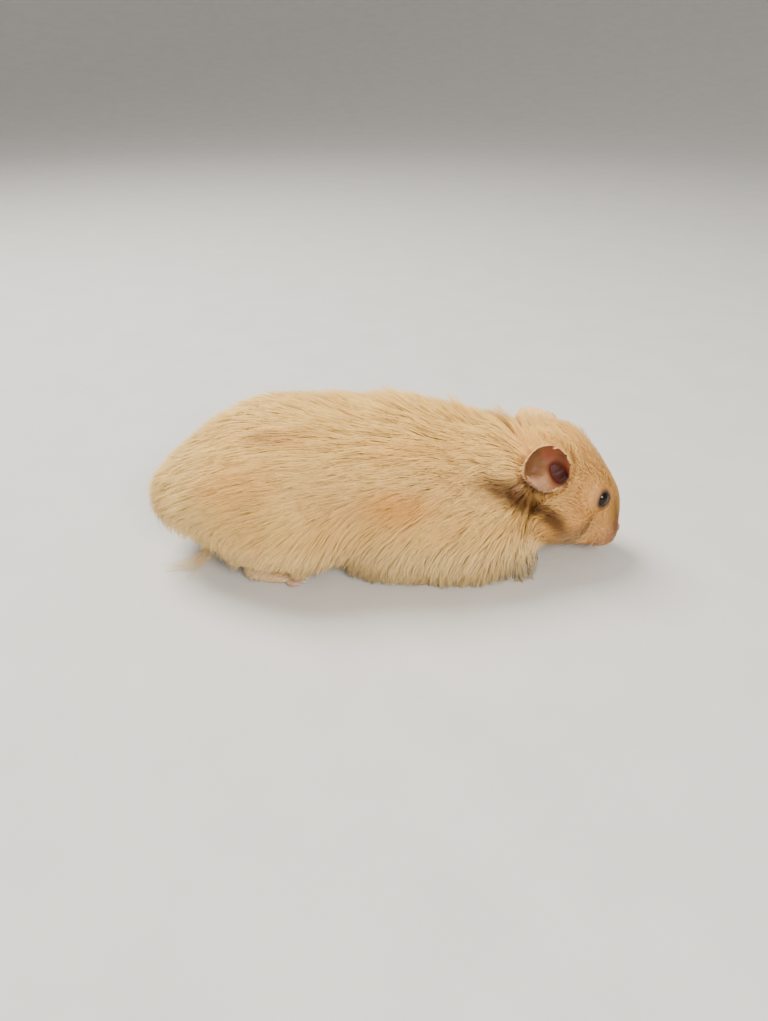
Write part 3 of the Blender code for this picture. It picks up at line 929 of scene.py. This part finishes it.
def hair_length(points, slope):
    """Length of the hair (mm) at points of the skin."""
    forward = ahead_of_eyes(points)
    length = np.interp(-forward, -np.array(LENGTH_AHEAD)[::-1], LENGTHS[::-1])
    length = length + 1.5 * smooth(-points[:, 0] / MM, 40, 62)
    under = smooth(-slope[:, 2], 0.35, 0.85)
    length = length * (1 - 0.35 * under)
    # Over the hind feet the coat ends above the toes.
    x, y, z = points.T / MM
    over_foot = 1 - smooth(np.abs(x - HIND_FOOT_PLACE[0] + 1), 7, 12)
    over_foot = over_foot * smooth(np.abs(y), 9, 14) * (z < 22)
    length = length - np.maximum(length - np.maximum(1.15 * (z - 6.5), 2), 0) * over_foot
    for side, _ in SIDES:
        # Hair rooted ahead of an ear ends short of its hollow.
        reach, local, _ = beside_ear(points, side)
        room = np.maximum(reach - 1, 0.08) * EAR_RIM[0] + 0.3
        before = (local[:, 0] > -3) & (reach < 2)
        length = np.where(before, np.minimum(length, room), length)
        away, _ = beside_eye(points, side)
        length = np.where(away < 6.5, np.minimum(length, 0.5 + 0.5 * (away - 2.6)), length)
    return length


def lie(points, slope):
    """The way the coat lies: back from the nose, rearward along the back, down the sides."""
    x, y, z = points.T / MM
    _, left, up = in_head(points).T
    forward = ahead_of_eyes(points)
    down = smooth(-slope[:, 2], -0.62, 0.62)
    chest = smooth(x, -12, 22) * (1 - smooth(forward, -24, -10))
    fall = 6 + 62 * down**1.35 + 22 * chest * smooth(24 - z, 0, 14)
    lean = 22 * smooth(x, 34, 44) * smooth(22 - z, 0, 8)
    fall = np.radians(np.minimum(fall, 84) + lean)
    low = smooth(11 - z, 0, 8)
    outward = 0.16 * (1 - down) + 0.10 * smooth(np.abs(y), 8, 20)
    outward = outward + low * (0.22 + 0.4 * smooth(x, 22, 36))
    outward = np.clip(y / PARTING, -1, 1) * outward
    body = np.stack((-np.cos(fall), outward, -np.sin(fall)), axis=1)
    aside = 0.22 * np.sign(left) * smooth(np.abs(left), 1, 7)
    back = np.stack((-np.ones_like(x), aside, -0.45 * smooth(-up, 3, 14)), axis=1)
    back = back @ np.array(head_matrix()).T
    share = smooth(forward, -30, -12)[:, None]
    # Behind the ear the coat sweeps up over the nape in a light curl.
    curl = np.exp(-(((x - 33) / 8) ** 2) - ((z - 43) / 6) ** 2)[:, None] * (0, 0, 0.35)
    way = unit(body + curl) * (1 - share) + unit(back) * share
    for side, _ in SIDES:
        # The hair parts and flows round an ear.
        reach, local, away = beside_ear(points, side)
        way = way + away * (0.9 * np.exp(-(((reach - 1) / 0.35) ** 2)) * (reach > 0.8))[:, None]
        out, _ = ear_bowl(local[:, 0], local[:, 1])
        on_ear = (reach < 1.1) & (np.abs(local[:, 2] - out) < 1.2)
        _, axes = ear_frame(side)
        way = np.where(on_ear[:, None], away - 0.7 * axes[:, 2], way)
        # It parts round an eye as well.
        centre, _ = eye_frame(side)
        from_eye = points - centre
        gap = np.linalg.norm(from_eye, axis=1) / MM - EYE_RADIUS
        way = way + unit(from_eye) * (1.1 * np.exp(-((gap / 1.6) ** 2)))[:, None]
    across = (way * slope).sum(axis=1, keepdims=True) * slope
    return unit(way - across * (1 - hang(points))[:, None])


def hang(points):
    """How freely the hair hangs, from 0 where it lies on the body to 1 near the floor."""
    x, _, z = points.T / MM
    free = 0.85 + 0.12 * smooth(x, 20, 34)
    return free * smooth(17 - z, 0, 9) * smooth(x, -66, -56) * (1 - smooth(x, 50, 56))


def turned(way, slope, angle):
    """Directions in the surface, each turned by its angle about the surface's normal."""
    aside = np.cross(slope, way)
    return way * np.cos(angle)[:, None] + aside * np.sin(angle)[:, None]


def grow(roots, lengths, lifts, turns, steps):
    """The middle line of each hair, from its root out to its own layer of the coat."""
    here = roots.copy()
    level = coat_distance(here)
    start = np.minimum(level, -0.3 * MM)
    paths = [here]
    slopes = []
    for step in range(1, steps + 1):
        slope = unit(slope_of(here, coat_distance, level))
        slopes.append(slope)
        way = turned(lie(here, slope), slope, turns * step / steps)
        here = here + way * (lengths / steps * MM)[:, None]
        wanted = start * (1 - lifts * (step / steps) ** RISE)
        off = (coat_distance(here) - wanted) * (1 - hang(here))
        here = here - slope * off[:, None]
        here[:, 2] = np.maximum(here[:, 2], RIND * MM)
        level = coat_distance(here)
        paths.append(here)
    slopes.append(slopes[-1])
    return np.stack(paths, axis=1), np.stack(slopes, axis=1)


def lay_flat(roots, normals, lengths, rises, turns, steps):
    """The middle line of each short hair, which follows the round of the skin under it."""
    way = turned(lie(roots, normals), normals, turns)
    along = np.linspace(0, 1, steps + 1)[None, :, None]
    reach = lengths[:, None, None] * MM
    height = rises[:, None, None] * along**RISE - (reach * along) ** 2 / (2 * ROUND_OF_FACE * MM)
    height = np.maximum(height, 0.05 * MM)
    paths = roots[:, None] + way[:, None] * reach * along + normals[:, None] * height
    slopes = unit(normals[:, None] + way[:, None] * reach * along / (ROUND_OF_FACE * MM))
    return paths, slopes


def lifted_hem(paths):
    """How high (mm) the coat's lower edge is drawn up over each hind foot."""
    found = np.zeros(paths.shape[:2])
    for side, word in SIDES:
        middle = FEET["hind_" + word][0][0][0] / MM
        x, y, _ = np.moveaxis(paths / MM, 2, 0)
        over = (1 - smooth(np.abs(x - middle[0] + 3), 7, 11)) * smooth(side * y, 9, 16)
        found += over * (HEM + 2.5 * smooth(side * y, 19, 26))
    return found


def locks_of(roots, size, rng):
    """Which lock each root belongs to, and the root at each lock's middle."""
    cells = np.unique(np.floor(roots / (size * MM)).astype(int), axis=0, return_index=True)[1]
    middles = rng.permutation(cells)
    tree = KDTree(len(middles))
    for index, middle in enumerate(middles):
        tree.insert(roots[middle], index)
    tree.balance()
    nearest = np.array([tree.find(root)[1] for root in roots])
    return nearest, middles


def gather(paths, lock, middles, strength, start=1.3):
    """Draws the tips of each lock's hairs together."""
    guide = paths[middles[lock]]
    along = np.linspace(0, 1, paths.shape[1]) ** start
    pull = (strength[:, None] * along)[:, :, None]
    return paths + (guide - paths) * pull


def sample_roots(mesh, density, rng):
    """Points spread over a mesh: about density(middle of each face) of them to a square mm."""
    mesh.calc_loop_triangles()
    corners = np.empty(len(mesh.loop_triangles) * 3, np.int32)
    mesh.loop_triangles.foreach_get("vertices", corners)
    triangles = mesh_points(mesh)[corners.reshape(-1, 3)]
    crossed = np.cross(triangles[:, 1] - triangles[:, 0], triangles[:, 2] - triangles[:, 0])
    area = np.linalg.norm(crossed, axis=1) / 2 / MM**2
    weight = area * density(triangles.mean(axis=1))
    edges = np.cumsum(weight)
    count = int(edges[-1])
    picks = (np.arange(count) + rng.random(count)) * edges[-1] / count
    chosen = np.minimum(np.searchsorted(edges, picks), len(edges) - 1)
    first = np.sqrt(rng.random(count))[:, None]
    second = rng.random(count)[:, None]
    a, b, c = triangles[chosen, 0], triangles[chosen, 1], triangles[chosen, 2]
    normals = unit(crossed[chosen])
    return a * (1 - first) + b * first * (1 - second) + c * first * second, normals


def bareness(points):
    """How far each point of the skin is free of long coat, from 0 to 1."""
    share = 1 - smooth(ellipsoid_distance(points, *NOSE[:3]) / MM, 0.2, 0.8)
    for side, _ in SIDES:
        centre, _ = eye_frame(side)
        away = np.linalg.norm(points - centre, axis=1) / MM
        share = np.maximum(share, 1 - smooth(away, 3.35, 3.7))
        _, belongs = ear_colour(points, side)
        share = np.maximum(share, belongs)
        reach, local, _ = beside_ear(points, side)
        sheet, _ = ear_bowl(local[:, 0], local[:, 1])
        under_flap = (local[:, 0] < -1) & (local[:, 2] < sheet - 1.2)
        column = (reach < 1.0) & (local[:, 2] > -EAR_DEPTH - 3)
        share = np.maximum(share, column & ~under_flap)
    for masses, _ in FEET.values():
        share = np.maximum(share, 1 - smooth(union_distance(points, masses) / MM, 0.2, 0.5))
    return np.maximum(share, points[:, 2] < 0.8 * MM)


def lobe_share(points, side):
    """How far each point belongs to an ear's lobe, from 0 to 1."""
    forward, up, _ = in_ear(points, side).T
    return spot(forward - EAR_SHIFT[0], up - EAR_SHIFT[1], *EAR_LOBE)


def hollow_of_ear(points):
    """Whether each point is inside the hollow of an ear, or in its canal's mouth."""
    found = np.zeros(len(points), bool)
    for side, _ in SIDES:
        out, sheet, reach = beside_bowl(points, side)
        off_lobe = lobe_share(points, side) < 0.5
        found |= (reach < 1.1) & (out > sheet - 0.1) & (out < sheet + 9) & off_lobe
        found |= ear_pit(*in_ear(points, side).T) < 1.2
    return found


def lobe_of_ear(points):
    """Whether each point is on the pale inside of an ear's lobe."""
    found = np.zeros(len(points), bool)
    for side, _ in SIDES:
        out, sheet, reach = beside_bowl(points, side)
        on_lobe = lobe_share(points, side) >= 0.5
        found |= on_lobe & (reach < 0.94) & (np.abs(out - sheet - 0.6) < 1.2)
    return found


def back_of_ear(points):
    """Whether each point is on the outside of an ear's thin wall."""
    found = np.zeros(len(points), bool)
    for side, _ in SIDES:
        out, sheet, reach = beside_bowl(points, side)
        found |= (reach > 0.35) & (reach < 0.88) & (out < sheet) & (out > sheet - 1.5)
    return found


def on_feet(points):
    """Whether each point is on the skin of a foot."""
    found = np.zeros(len(points), bool)
    for masses, _ in FEET.values():
        found |= union_distance(points, masses) < 0.6 * MM
    return found


def hair_colours(paths, lock_shade, hair_shade, fade):
    """A colour for each ring of each hair: the coat's where it shows, deeper at the root."""
    rings = paths.shape[1]
    seen = int(round(0.6 * (rings - 1)))
    outer = fur_colour(paths[:, seen])
    here = fur_colour(paths.reshape(-1, 3)).reshape(*paths.shape)
    base = 0.4 * outer[:, None] + 0.6 * here
    along = np.linspace(0, 1, rings)[None, :, None]
    shade = (1 - fade) + fade * along**0.6
    colour = base * shade * (lock_shade * hair_shade)[:, None, None]
    warm = (1 - along) * fade
    return colour * (1 - warm * np.array((0.0, 0.12, 0.28)))


def unwrap(points):
    """A place from 0 to 1 on the body's own unwrap: along it, and around its middle line."""
    along = (points[:, 0] / MM - UNWRAP_FROM) / UNWRAP_LENGTH
    around = np.arctan2(points[:, 1], points[:, 2] - UNWRAP_HEIGHT * MM)
    return np.stack((along, around / (2 * math.pi) + 0.5), axis=1)


def coat_piece_of(points, bands):
    """The number of each root's piece: twice its stretch of the body, and 1 more on the left."""
    return np.searchsorted(bands, points[:, 0] / MM) * 2 + (points[:, 1] > 0)


def thin_out(paths, slopes, keep):
    """The rings kept of a finely grown path, by the share of the length each stands at."""
    steps = paths.shape[1] - 1
    at = np.array(keep) * steps
    low = np.minimum(at.astype(int), steps - 1)
    part = (at - low)[None, :, None]
    lines = paths[:, low] * (1 - part) + paths[:, low + 1] * part
    return lines, unit(slopes[:, low] * (1 - part) + slopes[:, low + 1] * part)


def long_coat(skin, rng):
    """The locks of the body, neck and back of the head."""
    def density(points):
        forward = ahead_of_eyes(points)
        z = points[:, 2] / MM
        amount = LONG_DENSITY * (1 - smooth(forward, -16, -7))
        amount = amount * (0.35 + 0.65 * smooth(z, 5, 9))
        return amount * (bareness(points) < 0.5)

    roots, _ = sample_roots(skin, density, rng)
    count = len(roots)
    level = coat_distance(roots)
    slope = unit(slope_of(roots, coat_distance, level))
    large, large_middles = locks_of(roots, LARGE_LOCK, rng)
    small, small_middles = locks_of(roots, SMALL_LOCK, rng)
    large_wild = rng.random(len(large_middles))
    small_wild = rng.random(len(small_middles))
    x, _, z = roots.T / MM
    loose = 0.5 + 0.5 * smooth(x, -10, 25) + 0.4 * smooth(24 - z, 0, 12)

    lengths = hair_length(roots, slope)
    lengths = lengths * (0.9 + 0.2 * small_wild[small]) * rng.uniform(0.82, 1.12, count)
    lifts = 0.58 + 0.46 * rng.random(count) ** 0.7 + 0.22 * small_wild[small]
    lifts = lifts + 0.10 * (large_wild[large] - 0.5) * loose
    crest = smooth(z, 37, 44) * smooth(x, -16, -2) * (1 - smooth(x, 44, 52))
    lifts = lifts + 0.25 * crest
    lifts = np.where(rng.random(count) < 0.06, lifts + rng.uniform(0.1, 0.35, count), lifts)
    for place, reach, rise in STANDING_LOCKS:
        away = np.linalg.norm((roots / MM - place) / (1, 1, 2.5), axis=1) / reach
        stand = (1 - smooth(away, 0.4, 1.0)) * (0.4 + 0.6 * small_wild[small])
        lifts = lifts + stand * rise / 5.0
    turns = np.radians(
        16 * (large_wild[large] - 0.5) * loose
        + 20 * (small_wild[small] - 0.5) * loose
        + rng.normal(0, 5, count)
    )
    paths, slopes = grow(roots, lengths, lifts, turns, LONG_STEPS)

    strength = 0.18 + 0.36 * rng.random(len(small_middles))[small]
    strength = strength + 0.15 * smooth(16 - z, 0, 10)
    strength = np.where(rng.random(count) < 0.15, 0.05, strength)
    paths = gather(paths, small, small_middles, strength)
    strength = (0.06 + 0.16 * rng.random(len(large_middles))[large]) * loose
    paths = gather(paths, large, large_middles, strength, 1.8)

    # A gentle wave, shared by the hairs of a lock.
    along = np.linspace(0, 1, paths.shape[1])[None, :]
    phase = rng.random(len(small_middles))[small][:, None] + rng.normal(0, 0.05, (count, 1))
    swing = (0.25 + 0.35 * small_wild[small] * loose)[:, None] * along
    wave = swing * np.sin(2 * math.pi * (along * 1.15 + phase)) * MM
    aside = unit(np.cross(slopes, np.gradient(paths, axis=1)))
    paths = paths + aside * wave[:, :, None]
    paths[:, :, 2] = np.maximum(paths[:, :, 2], (RIND + lifted_hem(paths)) * MM)

    lines, normals = thin_out(paths, slopes, LONG_RINGS)
    width = rng.uniform(0.18, 0.31, count) * (0.55 + 0.45 * smooth(lengths, 3, 11))
    width = width[:, None] * np.array(LONG_TAPER)
    lock_shade = 0.92 + 0.09 * small_wild[small] + 0.07 * large_wild[large]
    colours = hair_colours(lines, lock_shade, rng.uniform(0.93, 1.06, count), 0.15)
    return roots, lines, normals, width * MM, width * 0.42 * MM, colours, 0.8


def short_coat(skin, rng):
    """The fine flat hair of the face, the feet and the ears' backs and lobes."""
    def density(points):
        forward = ahead_of_eyes(points)
        amount = 2 + SHORT_DENSITY * smooth(forward, -4, 8)
        amount = amount * smooth(forward, -19, -10) * 1.4
        amount = np.where(on_feet(points), FOOT_DENSITY * (points[:, 2] > 1.6 * MM), amount)
        amount = np.where(back_of_ear(points), EAR_BACK_DENSITY, amount)
        amount = np.where(hollow_of_ear(points), 0.0, amount)
        amount = np.where(lobe_of_ear(points), LOBE_DENSITY, amount)
        nose = ellipsoid_distance(points, *NOSE[:3]) / MM
        left = in_head(points)[:, 1]
        amount = amount * np.maximum(smooth(nose, 0.1, 0.5), smooth(np.abs(left), 1.3, 1.9))
        for side, _ in SIDES:
            away, opening = beside_eye(points, side)
            amount = amount * ((away > LID_REACH) | ((away > 3.1) & (opening > 1.3)))
        return amount

    roots, normals = sample_roots(skin, density, rng)
    count = len(roots)
    small, middles = locks_of(roots, FINE_LOCK, rng)
    wild = rng.random(len(middles))
    level = coat_distance(roots)
    slope = unit(slope_of(roots, coat_distance, level))
    lengths = hair_length(roots, slope) * rng.uniform(0.8, 1.15, count)
    lengths = np.where(on_feet(roots), 1.4, lengths)
    lobe = lobe_of_ear(roots)
    on_ear = back_of_ear(roots) | lobe
    lengths = np.where(on_ear, rng.uniform(1.2, 2.4, count), lengths)
    lengths = np.where(lobe, lengths * 0.5, lengths)
    # The pricked left ear carries its hair longer and further off.
    pricked = back_of_ear(roots) & (roots[:, 1] > 0)
    lengths = np.where(pricked, lengths * 1.5, lengths)
    rises = np.maximum(-level * (0.7 + 0.6 * rng.random(count)), 0.15 * MM)
    rises = np.where(on_ear, rng.uniform(0.15, 0.4, count) * MM, rises)
    rises = np.where(pricked, rises * 2.6, rises)
    rises = np.minimum(rises, lengths * 0.6 * MM)
    turns = np.radians(12 * (wild[small] - 0.5) + rng.normal(0, 6, count))
    paths, slopes = lay_flat(roots, normals, lengths, rises, turns, SHORT_STEPS)
    paths = gather(paths, small, middles, 0.15 + 0.25 * wild[small])
    paths[:, :, 2] = np.maximum(paths[:, :, 2], 0.08 * MM)
    lines, normals = thin_out(paths, slopes, SHORT_RINGS)
    width = rng.uniform(0.13, 0.20, count)[:, None] * np.array(SHORT_TAPER)
    shade = rng.uniform(0.92, 1.06, count)
    colours = hair_colours(lines, 0.95 + 0.08 * wild[small], shade, 0.16)
    colours[on_ear] = EAR_HAIR * shade[on_ear][:, None, None]
    colours[lobe] = EAR_LOBE_PALE * shade[lobe][:, None, None]
    return roots, lines, normals, width * MM, width * 0.45 * MM, colours, 0.75


def coat_pieces(skin):
    """Grows the whole coat and links it as one piece for each stretch of the body."""
    rng = np.random.default_rng(COAT_SEED)
    pieces = []
    for coat, bands, stems in (
        (long_coat, COAT_BANDS, ["coat_" + stretch for stretch in COAT_NAMES]),
        (short_coat, (), ["fine_coat"]),
    ):
        roots, lines, normals, widths, depths, colours, soften = coat(skin, rng)
        places = unwrap(roots)
        colours = np.clip(colours, DARKEST, PALEST)
        group = coat_piece_of(roots, bands)
        for index in np.unique(group):
            name = stems[index // 2] + ("_right", "_left")[index % 2]
            some = group == index
            mesh = ridge_mesh(
                name, lines[some], widths[some], depths[some],
                colours[some], normals[some], places[some], soften,
            )
            pieces.append(link(name, mesh))
    return pieces


# ---------------------------------------------------------------- eyes, claws and whiskers
def eye_mesh(name, side):
    """A ball whose clear front swells a little, as the cornea does."""
    centre, axes = eye_frame(side)
    made = bmesh.new()
    bmesh.ops.create_uvsphere(made, u_segments=48, v_segments=32, radius=1.0)
    for vertex in made.verts:
        swell = EYE_RADIUS * (1 + 0.05 * max(vertex.co.z, 0) ** 3)
        vertex.co = Vector(centre + axes @ np.array(vertex.co * swell * MM))
    mesh = bpy.data.meshes.new(name)
    made.to_mesh(mesh)
    made.free()
    mesh.shade_smooth()
    return mesh


def claw_mesh(name, claws):
    """Curved, tapering claws, each from a toe's end forward and down to its point."""
    rings, sides = 6, 8
    made = bmesh.new()
    for place, way, size in claws:
        aside = Vector((-way.y, way.x, 0))
        rows = []
        for ring in range(rings):
            share = ring / rings
            middle = place + way * (size * 2.3 * share)
            middle = middle + Vector((0, 0, size * (0.25 * share - 0.75 * share**2)))
            radius = size * 0.42 * (1 - share) ** 0.8
            row = []
            for side in range(sides):
                angle = 2 * math.pi * side / sides
                spread = aside * math.cos(angle) * 0.75 + Vector((0, 0, math.sin(angle)))
                row.append(made.verts.new((middle + spread * radius) * MM))
            rows.append(row)
        tip = place + way * (size * 2.3) + Vector((0, 0, size * -0.5))
        end = made.verts.new(tip * MM)
        for lower, upper in zip(rows, rows[1:], strict=False):
            for side in range(sides):
                following = (side + 1) % sides
                made.faces.new((lower[side], lower[following], upper[following], upper[side]))
        for side in range(sides):
            made.faces.new((rows[-1][side], rows[-1][(side + 1) % sides], end))
        made.faces.new(rows[0][::-1])
    bmesh.ops.recalc_face_normals(made, faces=made.faces[:])
    for vertex in made.verts:
        vertex.co.z = max(vertex.co.z, 0.0)
    mesh = bpy.data.meshes.new(name)
    made.to_mesh(mesh)
    made.free()
    mesh.shade_smooth()
    return mesh


def whisker_mesh():
    """Fine stiff hairs in rows on each whisker pad, bending back along the cheek."""
    rng = np.random.default_rng(WHISKER_SEED)
    axes = np.array(head_matrix())
    paths = []
    for side, _ in SIDES:
        for row in range(WHISKER_ROWS):
            for place in range(WHISKER_ROWS):
                root = np.array((11.5 - 2.1 * place, side * (5.0 + 0.75 * place), -8.6 - 1.5 * row))
                length = 11 + 3.2 * place + rng.uniform(-1, 1)
                rise = 0.42 - 0.25 * row + rng.uniform(-0.08, 0.08)
                way = np.array((0.25 - 0.22 * place, side * 0.95, rise))
                bend = np.array((-0.75, side * 0.05, -0.28))
                along = np.linspace(0, 1, 9)[:, None]
                line = root + way * length * along + bend * length * along**2 * 0.8
                paths.append((np.array(HEAD_ORIGIN) + line @ axes.T) * MM)
    paths = np.array(paths)
    paths[:, :, 2] = np.maximum(paths[:, :, 2], 0.4 * MM)
    widths = np.tile(np.append(np.linspace(0.10, 0.03, 8), 0), (len(paths), 1)) * MM
    normals = unit(np.broadcast_to(np.array((0.3, 0.0, 0.95)), paths.shape))
    colours = np.broadcast_to(WHISKER, paths.shape)
    places = unwrap(paths[:, 0])
    return ridge_mesh("whiskers", paths, widths, widths, colours, normals, places, 0.2)


def wisp_mesh():
    """Long loose hairs that trail on the floor behind the rump, drawn together in thin locks."""
    rng = np.random.default_rng(WISP_SEED)
    along = np.linspace(0, 1, 9)[:, None]
    paths = []
    for side, _ in SIDES:
        for _ in range(WISP_LOCKS):
            lock_end = np.array((rng.uniform(-77, -62), side * rng.uniform(10, 20), 0.5))
            for _ in range(WISP_HAIRS):
                root = np.array(WISP_ROOT) * (1, side, 1) + rng.uniform(-1.8, 1.8, 3)
                end = lock_end + rng.uniform(-1.1, 1.1, 3) * (1, 1, 0.2)
                line = root + (end - root) * along
                line[:, 2] = root[2] + (end[2] - root[2]) * (1 - (1 - along[:, 0]) ** 2)
                paths.append(line)
    paths = np.array(paths)
    paths[:, :, 2] = np.maximum(paths[:, :, 2], 0.3)
    paths = paths * MM
    widths = np.tile(np.append(np.linspace(0.17, 0.06, 8), 0), (len(paths), 1)) * MM
    normals = np.broadcast_to(np.array((0.0, 0.0, 1.0)), paths.shape)
    colours = np.broadcast_to(CREAM_LOW * 0.9, paths.shape)
    places = unwrap(paths[:, 0])
    return ridge_mesh("wisps", paths, widths, widths * 0.6, colours, normals, places, 0.6)


# ---------------------------------------------------------------- materials
def noise(tree, scale, detail=3.0, stretch=(1, 1, 1)):
    """Noise in the animal's own metres, drawn out along an axis by stretch."""
    where = tree.nodes.new("ShaderNodeTexCoord")
    fit = tree.nodes.new("ShaderNodeMapping")
    fit.inputs["Scale"].default_value = stretch
    made = tree.nodes.new("ShaderNodeTexNoise")
    made.inputs["Scale"].default_value = scale
    made.inputs["Detail"].default_value = detail
    tree.links.new(where.outputs["Object"], fit.inputs["Vector"])
    tree.links.new(fit.outputs["Vector"], made.inputs["Vector"])
    return made.outputs["Fac"]


def ramp(tree, factor, low, dark, high, pale):
    """A colour between dark, where the factor is low, and pale, where it is high."""
    made = tree.nodes.new("ShaderNodeValToRGB")
    ends = zip(made.color_ramp.elements, (low, high), (dark, pale), strict=True)
    for stop, place, colour in ends:
        stop.position = place
        stop.color = (*colour, 1)
    tree.links.new(factor, made.inputs["Fac"])
    return made.outputs["Color"]


def multiplied(tree, first, second):
    made = tree.nodes.new("ShaderNodeMix")
    made.data_type = "RGBA"
    made.blend_type = "MULTIPLY"
    made.inputs["Factor"].default_value = 1.0
    tree.links.new(first, made.inputs["A"])
    tree.links.new(second, made.inputs["B"])
    return made.outputs["Result"]


def bump(tree, shader, height, strength, distance):
    made = tree.nodes.new("ShaderNodeBump")
    made.inputs["Strength"].default_value = strength
    made.inputs["Distance"].default_value = distance
    tree.links.new(height, made.inputs["Height"])
    tree.links.new(made.outputs["Normal"], shader.inputs["Normal"])


def finish_of(name):
    """The material of that name in FINISHES, with its node tree and its shader."""
    roughness, specular, tinted, patterns = FINISHES[name]
    made = bpy.data.materials.new(name)
    made.use_nodes = True
    tree = made.node_tree
    shader = tree.nodes["Principled BSDF"]
    shader.inputs["Roughness"].default_value = roughness
    shader.inputs["Specular IOR Level"].default_value = specular
    layers = []
    if tinted:
        tint = tree.nodes.new("ShaderNodeAttribute")
        tint.attribute_name = "tint"
        layers.append(tint.outputs["Color"])
    for pattern, *ends in patterns:
        layers.append(ramp(tree, noise(tree, *pattern), *ends))
    colour = layers[0]
    for layer in layers[1:]:
        colour = multiplied(tree, colour, layer)
    tree.links.new(colour, shader.inputs["Base Color"])
    return made, tree, shader


def fur_material():
    """Hair, with a faint sheen."""
    made, _, shader = finish_of("fur")
    shader.inputs["Sheen Weight"].default_value = 0.10
    shader.inputs["Sheen Roughness"].default_value = 0.45
    shader.inputs["Sheen Tint"].default_value = (1.0, 0.86, 0.62, 1)
    return made


def skin_material():
    """Skin that lets a little light through, finely creased."""
    made, tree, shader = finish_of("skin")
    shader.inputs["Subsurface Weight"].default_value = 0.12
    shader.inputs["Subsurface Radius"].default_value = (0.0012, 0.0005, 0.0003)
    shader.inputs["Subsurface Scale"].default_value = 1.0
    creases = tree.nodes.new("ShaderNodeTexVoronoi")
    creases.feature = "DISTANCE_TO_EDGE"
    creases.inputs["Scale"].default_value = 2200
    bump(tree, shader, creases.outputs["Distance"], 0.35, 0.00012)
    return made


def claw_material():
    """Horn, grained along its length."""
    made, tree, shader = finish_of("claw")
    bump(tree, shader, noise(tree, 2500, 2, (1, 5, 5)), 0.2, 0.00005)
    return made


# ---------------------------------------------------------------- camera, light and floor
def add_camera():
    """The photo's view: the animal's right side, seen from above."""
    lens = bpy.data.cameras.new("camera")
    lens.lens = LENS
    lens.sensor_width = 36
    lens.clip_start = 0.01
    camera = bpy.data.objects.new("camera", lens)
    camera.location = CAMERA_PLACE
    camera.rotation_euler = (math.radians(90 - CAMERA_DOWN), 0, 0)
    bpy.context.scene.collection.objects.link(camera)
    bpy.context.scene.camera = camera


def add_area(name, place, size, power, colour):
    """A round soft light, aimed at the middle of the animal."""
    light = bpy.data.lights.new(name, "AREA")
    light.shape = "DISK"
    light.size = size
    light.energy = power
    light.color = colour
    item = bpy.data.objects.new(name, light)
    item.location = place
    item.rotation_euler = (Vector(LIT_POINT) - Vector(place)).to_track_quat("-Z", "Y").to_euler()
    bpy.context.scene.collection.objects.link(item)


def sweep_mesh():
    """A round floor that bends up into a wall on every side, far from the animal."""
    flat, bend, top, spokes = 1.2, 2.6, 3.2, 96
    profile = [(0.6, 0.0), (flat, 0.0)]
    for step in range(1, 17):
        angle = math.pi / 2 * step / 16
        profile.append((flat + bend * math.sin(angle), bend * (1 - math.cos(angle))))
    profile.append((flat + bend, top))
    turns = [2 * math.pi * spoke / spokes for spoke in range(spokes)]
    made = bmesh.new()
    rows = [
        [made.verts.new((out * math.cos(turn), out * math.sin(turn), z)) for turn in turns]
        for out, z in profile
    ]
    made.faces.new(rows[0])
    for near, far in zip(rows, rows[1:], strict=False):
        for spoke in range(spokes):
            after = (spoke + 1) % spokes
            made.faces.new((near[spoke], far[spoke], far[after], near[after]))
    mesh = bpy.data.meshes.new("floor")
    made.to_mesh(mesh)
    made.free()
    mesh.shade_smooth()
    return mesh


def add_studio():
    for light in LIGHTS:
        add_area(*light)
    world = bpy.data.worlds.new("studio")
    world.use_nodes = True
    sky = world.node_tree.nodes["Background"].inputs
    sky["Color"].default_value = SKY_COLOUR
    sky["Strength"].default_value = SKY_STRENGTH
    bpy.context.scene.world = world
    floor = link("floor", sweep_mesh())
    floor.data.materials.append(finish_of("floor")[0])


# ---------------------------------------------------------------- the model
def add_piece(item, finish, slot, *nodes):
    item.data.materials.clear()
    item.data.materials.append(finish)
    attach(item, "root")
    if nodes:
        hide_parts(*nodes)


def build():
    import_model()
    add_camera()
    add_studio()

    skin = link("skin", skin_mesh())
    flesh = ["head", "neck", "trunk", "tail", "nose"]
    for _, word in SIDES:
        for limb in ("fore_leg_", "hind_leg_", "fore_foot_", "hind_foot_", "ear_"):
            flesh.append(limb + word)
    add_piece(skin, skin_material(), "bare_skin", *flesh)

    fur = fur_material()
    for piece in coat_pieces(skin.data):
        add_piece(piece, fur, "coat")

    gloss = finish_of("eye")[0]
    for side, word in SIDES:
        name = "eyeball_" + word
        add_piece(link(name, eye_mesh(name, side)), gloss, "eye", "eye_" + word)
    horn = claw_material()
    for word, (_, claws) in FEET.items():
        add_piece(link("claws_" + word, claw_mesh("claws_" + word, claws)), horn, "claw")
    add_piece(link("wisps", wisp_mesh()), fur, "coat")
    add_piece(link("whiskers", whisker_mesh()), finish_of("whisker")[0], "coat")


build()
